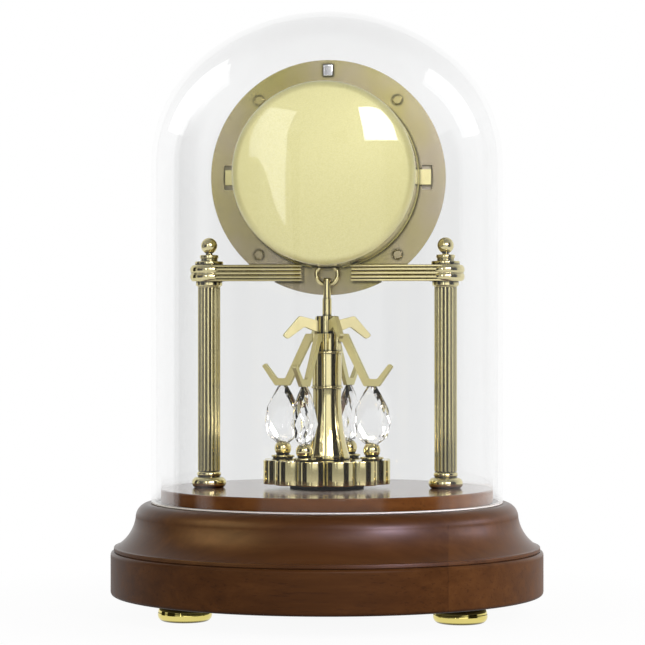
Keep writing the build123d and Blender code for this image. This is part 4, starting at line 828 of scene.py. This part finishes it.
def white_floor():
    """Floor = plain white to the eye far off, and the room's level in mirrors; near the clock a small share
    is left to show its shadow."""
    material, wire = bench("floor_white")
    where = wire.node("ShaderNodeTexCoord", None, None, "Object")
    far = wire.node("ShaderNodeVectorMath", {"operation": "LENGTH"}, {0: where}, "Value")
    out = wire.node("ShaderNodeVectorMath", {"operation": "NORMALIZE"}, {0: where})
    directly, mirrored = seen_directly(wire)
    lit = wire.node("ShaderNodeBsdfDiffuse", None, {"Color": (0.87, 0.87, 0.87, 1)})
    dimmed = (1.0 - directly) * (1.0 - room_level(wire, out)) * held(wire, far - 0.3)
    plain = wire.node("ShaderNodeEmission", None, {"Color": (1, 1, 1, 1), "Strength": 1.0 - dimmed})
    share = held(wire, directly + mirrored) * held(wire, far * 0.3 + 0.92)
    surface(wire, wire.node("ShaderNodeMixShader", None, {0: share, 1: lit, 2: plain}))
    return material


def studio_world():
    """Strength = 1 seen directly, the room's level in mirrors, and as light 0.62 at the sides and less
    overhead."""
    world = bpy.data.worlds.new("studio")
    world.use_nodes = True
    world.node_tree.nodes.clear()
    air = Wire(world.node_tree)
    way = air.node("ShaderNodeTexCoord", None, None, "Generated")
    directly, mirrored = seen_directly(air)
    up = held(air, air.node("ShaderNodeSeparateXYZ", None, {"Vector": way}, "Z"))
    light = mirrored * room_level(air, way) + (1.0 - mirrored) * (0.62 - up * 0.45)
    strength = directly + (1.0 - directly) * light
    sky = air.node("ShaderNodeBackground", None, {"Color": (1, 1, 1, 1), "Strength": strength})
    air.node("ShaderNodeOutputWorld", None, {"Surface": sky})
    return world


def stage_piece(name, corners, material):
    """A flat polygon on the stage."""
    mesh = bpy.data.meshes.new(name)
    mesh.from_pydata(corners, [], [tuple(range(len(corners)))])
    mesh.materials.append(material)
    made = bpy.data.objects.new(name, mesh)
    bpy.context.collection.objects.link(made)
    return made


def card(name, corners, material):
    """A card that only reflections see."""
    made = stage_piece(name, corners, material)
    made.visible_camera = made.visible_shadow = made.visible_transmission = made.visible_diffuse = False
    return made


def dark_finish():
    """A matt dark card, slightly cloudy, that thins out to its sides and top: the share 8 g (1 - g) times
    2.5 (1 - h), held at 1, where g runs from 0 to 1 along the card and h up it."""
    material, wire = bench("card_dark")
    place = wire.node("ShaderNodeTexCoord", None, None, "Generated")
    along = wire.node("ShaderNodeSeparateXYZ", None, {"Vector": place}, "X")
    height = wire.node("ShaderNodeSeparateXYZ", None, {"Vector": place}, "Z")
    matt = wire.node("ShaderNodeBsdfDiffuse", None, {
        "Color": blend(wire, noise(wire, 3.0), (0.010, 0.009, 0.008), (0.02, 0.018, 0.016))})
    clear = wire.node("ShaderNodeBsdfTransparent", None, {"Color": (1, 1, 1, 1)})
    share = held(wire, along * (1.0 - along) * 8.0) * held(wire, (1.0 - height) * 2.5)
    surface(wire, wire.node("ShaderNodeMixShader", None, {0: share, 1: clear, 2: matt}))
    return material


def pane_finish(name, strength):
    """A bright pane, slightly cloudy."""
    material, wire = bench(name)
    surface(wire, wire.node("ShaderNodeEmission", None, {
        "Color": blend(wire, noise(wire, 3.0), (1, 1, 1), (0.93, 0.94, 0.96)), "Strength": strength}))
    return material


def around(azimuth, distance, height):
    """A point at an azimuth from the camera's own direction, positive to the picture's right."""
    turn = np.radians(90 + azimuth)
    return (distance * np.cos(turn), distance * np.sin(turn), height)


def upright(low, high, distance, foot, head):
    """Corners of an upright card between two azimuths."""
    return [around(low, distance, foot), around(high, distance, foot), around(high, distance, head),
            around(low, distance, head)]


def lamp(name, azimuth, distance, height, width, tall, watts, colour, aim=(0, 0, 0.1), kind="both"):
    """A soft area lamp aimed at the clock. Of the kind "light" it isn't mirrored; of the kind "shine" it is
    only mirrored."""
    data = bpy.data.lights.new(name, "AREA")
    data.shape, data.size, data.size_y, data.energy, data.color = "RECTANGLE", width, tall, watts, colour
    made = bpy.data.objects.new(name, data)
    made.location = around(azimuth, distance, height)
    made.rotation_euler = (Vector(aim) - made.location).to_track_quat("-Z", "Y").to_euler()
    made.visible_glossy, made.visible_diffuse = kind != "light", kind != "shine"
    bpy.context.collection.objects.link(made)
    return made


white = (1.0, 1.0, 1.0)
bpy.context.scene.world = studio_world()
stage_piece("floor", [(-30, -30, 0), (30, -30, 0), (30, 30, 0), (-30, 30, 0)], white_floor())
dark = dark_finish()
strong, faint = pane_finish("pane_strong", 22.0), pane_finish("pane_faint", 5.0)
for name, low, high in (("dark_right", 36, 78), ("dark_left", -108, -82), ("dark_near", -74, -36)):
    card(name, upright(low, high, 0.6, 0.0, 0.6), dark)
window = [(-0.095, 0.876, 0.549), (-0.127, 0.909, 0.407), (-0.263, 0.884, 0.407), (-0.246, 0.85, 0.552)]
strip = [(0.304, 0.831, 0.551), (0.167, 0.872, 0.529), (0.205, 0.886, 0.451), (0.214, 0.905, 0.336),
         (0.217, 0.898, 0.038), (0.261, 0.899, 0.124), (0.297, 0.89, 0.268), (0.334, 0.873, 0.337),
         (0.372, 0.859, 0.337), (0.359, 0.844, 0.444)]

# Each lamp: name, azimuth, distance, height, its own width and height, watts, colour
lights = {
    "pictured in the cup": [card("window", window, strong), card("strip", strip, faint)],
    "on the metal": [lamp("wide_right", 16, 1.3, 0.5, 0.9, 1.0, 2.8, white, kind="shine")],
    "on all but dome and cup": [
        lamp("key_right", 29, 1.0, 0.5, 0.25, 0.25, 4.0, (1.0, 0.90, 1.0)),
        lamp("warm_left", -55, 1.0, 0.45, 0.4, 0.4, 2.5, (1.0, 0.85, 0.62)),
        lamp("side_right", 82, 1.2, 0.3, 0.5, 0.6, 10.0, (1.0, 0.90, 0.80), kind="light"),
        lamp("dial_fill", 172, 1.2, 0.4, 0.5, 0.5, 5.0, (1.0, 0.97, 0.92), (0, 0, 0.2), "light")],
    "on the cup": [lamp("front", 4, 1.3, 0.3, 0.7, 0.7, 10.0, (1.0, 0.99, 0.94), (0, 0, 0.21), "light")],
    "on the dome": [lamp("arc_left", -114, 1.0, 0.82, 0.50, 0.7, 1.3, white, (0, 0, 0.25), "shine"),
                    lamp("arc_right", 114, 1.0, 0.82, 0.35, 0.7, 0.95, white, (0, 0, 0.25), "shine")],
    "on the moulding": [
        lamp("sheen_mauve", 39, 1.0, 0.23, 0.28, 0.18, 34.0, (1.0, 0.80, 1.0), kind="shine"),
        lamp("sheen_bronze", -61, 1.0, 0.50, 0.60, 0.60, 34.0, (1.0, 0.62, 0.26), kind="shine"),
        lamp("sheen_side", 96, 1.0, 0.28, 0.42, 0.24, 5.0, (1.0, 0.84, 1.0), kind="shine")]}
reach_of = {
    "pictured in the cup": (["glass_dome"], "EXCLUDE"),
    "on the metal": (["glass_dome", "drawn_cup", "base_ogee"], "EXCLUDE"),
    "on all but dome and cup": (["glass_dome", "drawn_cup"], "EXCLUDE"),
    "on the cup": (["drawn_cup"], "INCLUDE"),
    "on the dome": (["glass_dome"], "INCLUDE"),
    "on the moulding": (["base_ogee"], "INCLUDE")}
for group, (names, state) in reach_of.items():
    receivers = bpy.data.collections.new(group)
    for name in names:
        receivers.objects.link(bpy.data.objects[name])
    for entry in receivers.collection_objects:
        entry.light_linking.link_state = state
    for light in lights[group]:
        light.light_linking.receiver_collection = receivers
print("studio:", sum(len(group) for group in lights.values()), "lights")

# %% [markdown]
# ## Colours
# The picture shows colours as they are, without a film look.

# %% Colours
bpy.context.scene.view_settings.view_transform = "Standard"
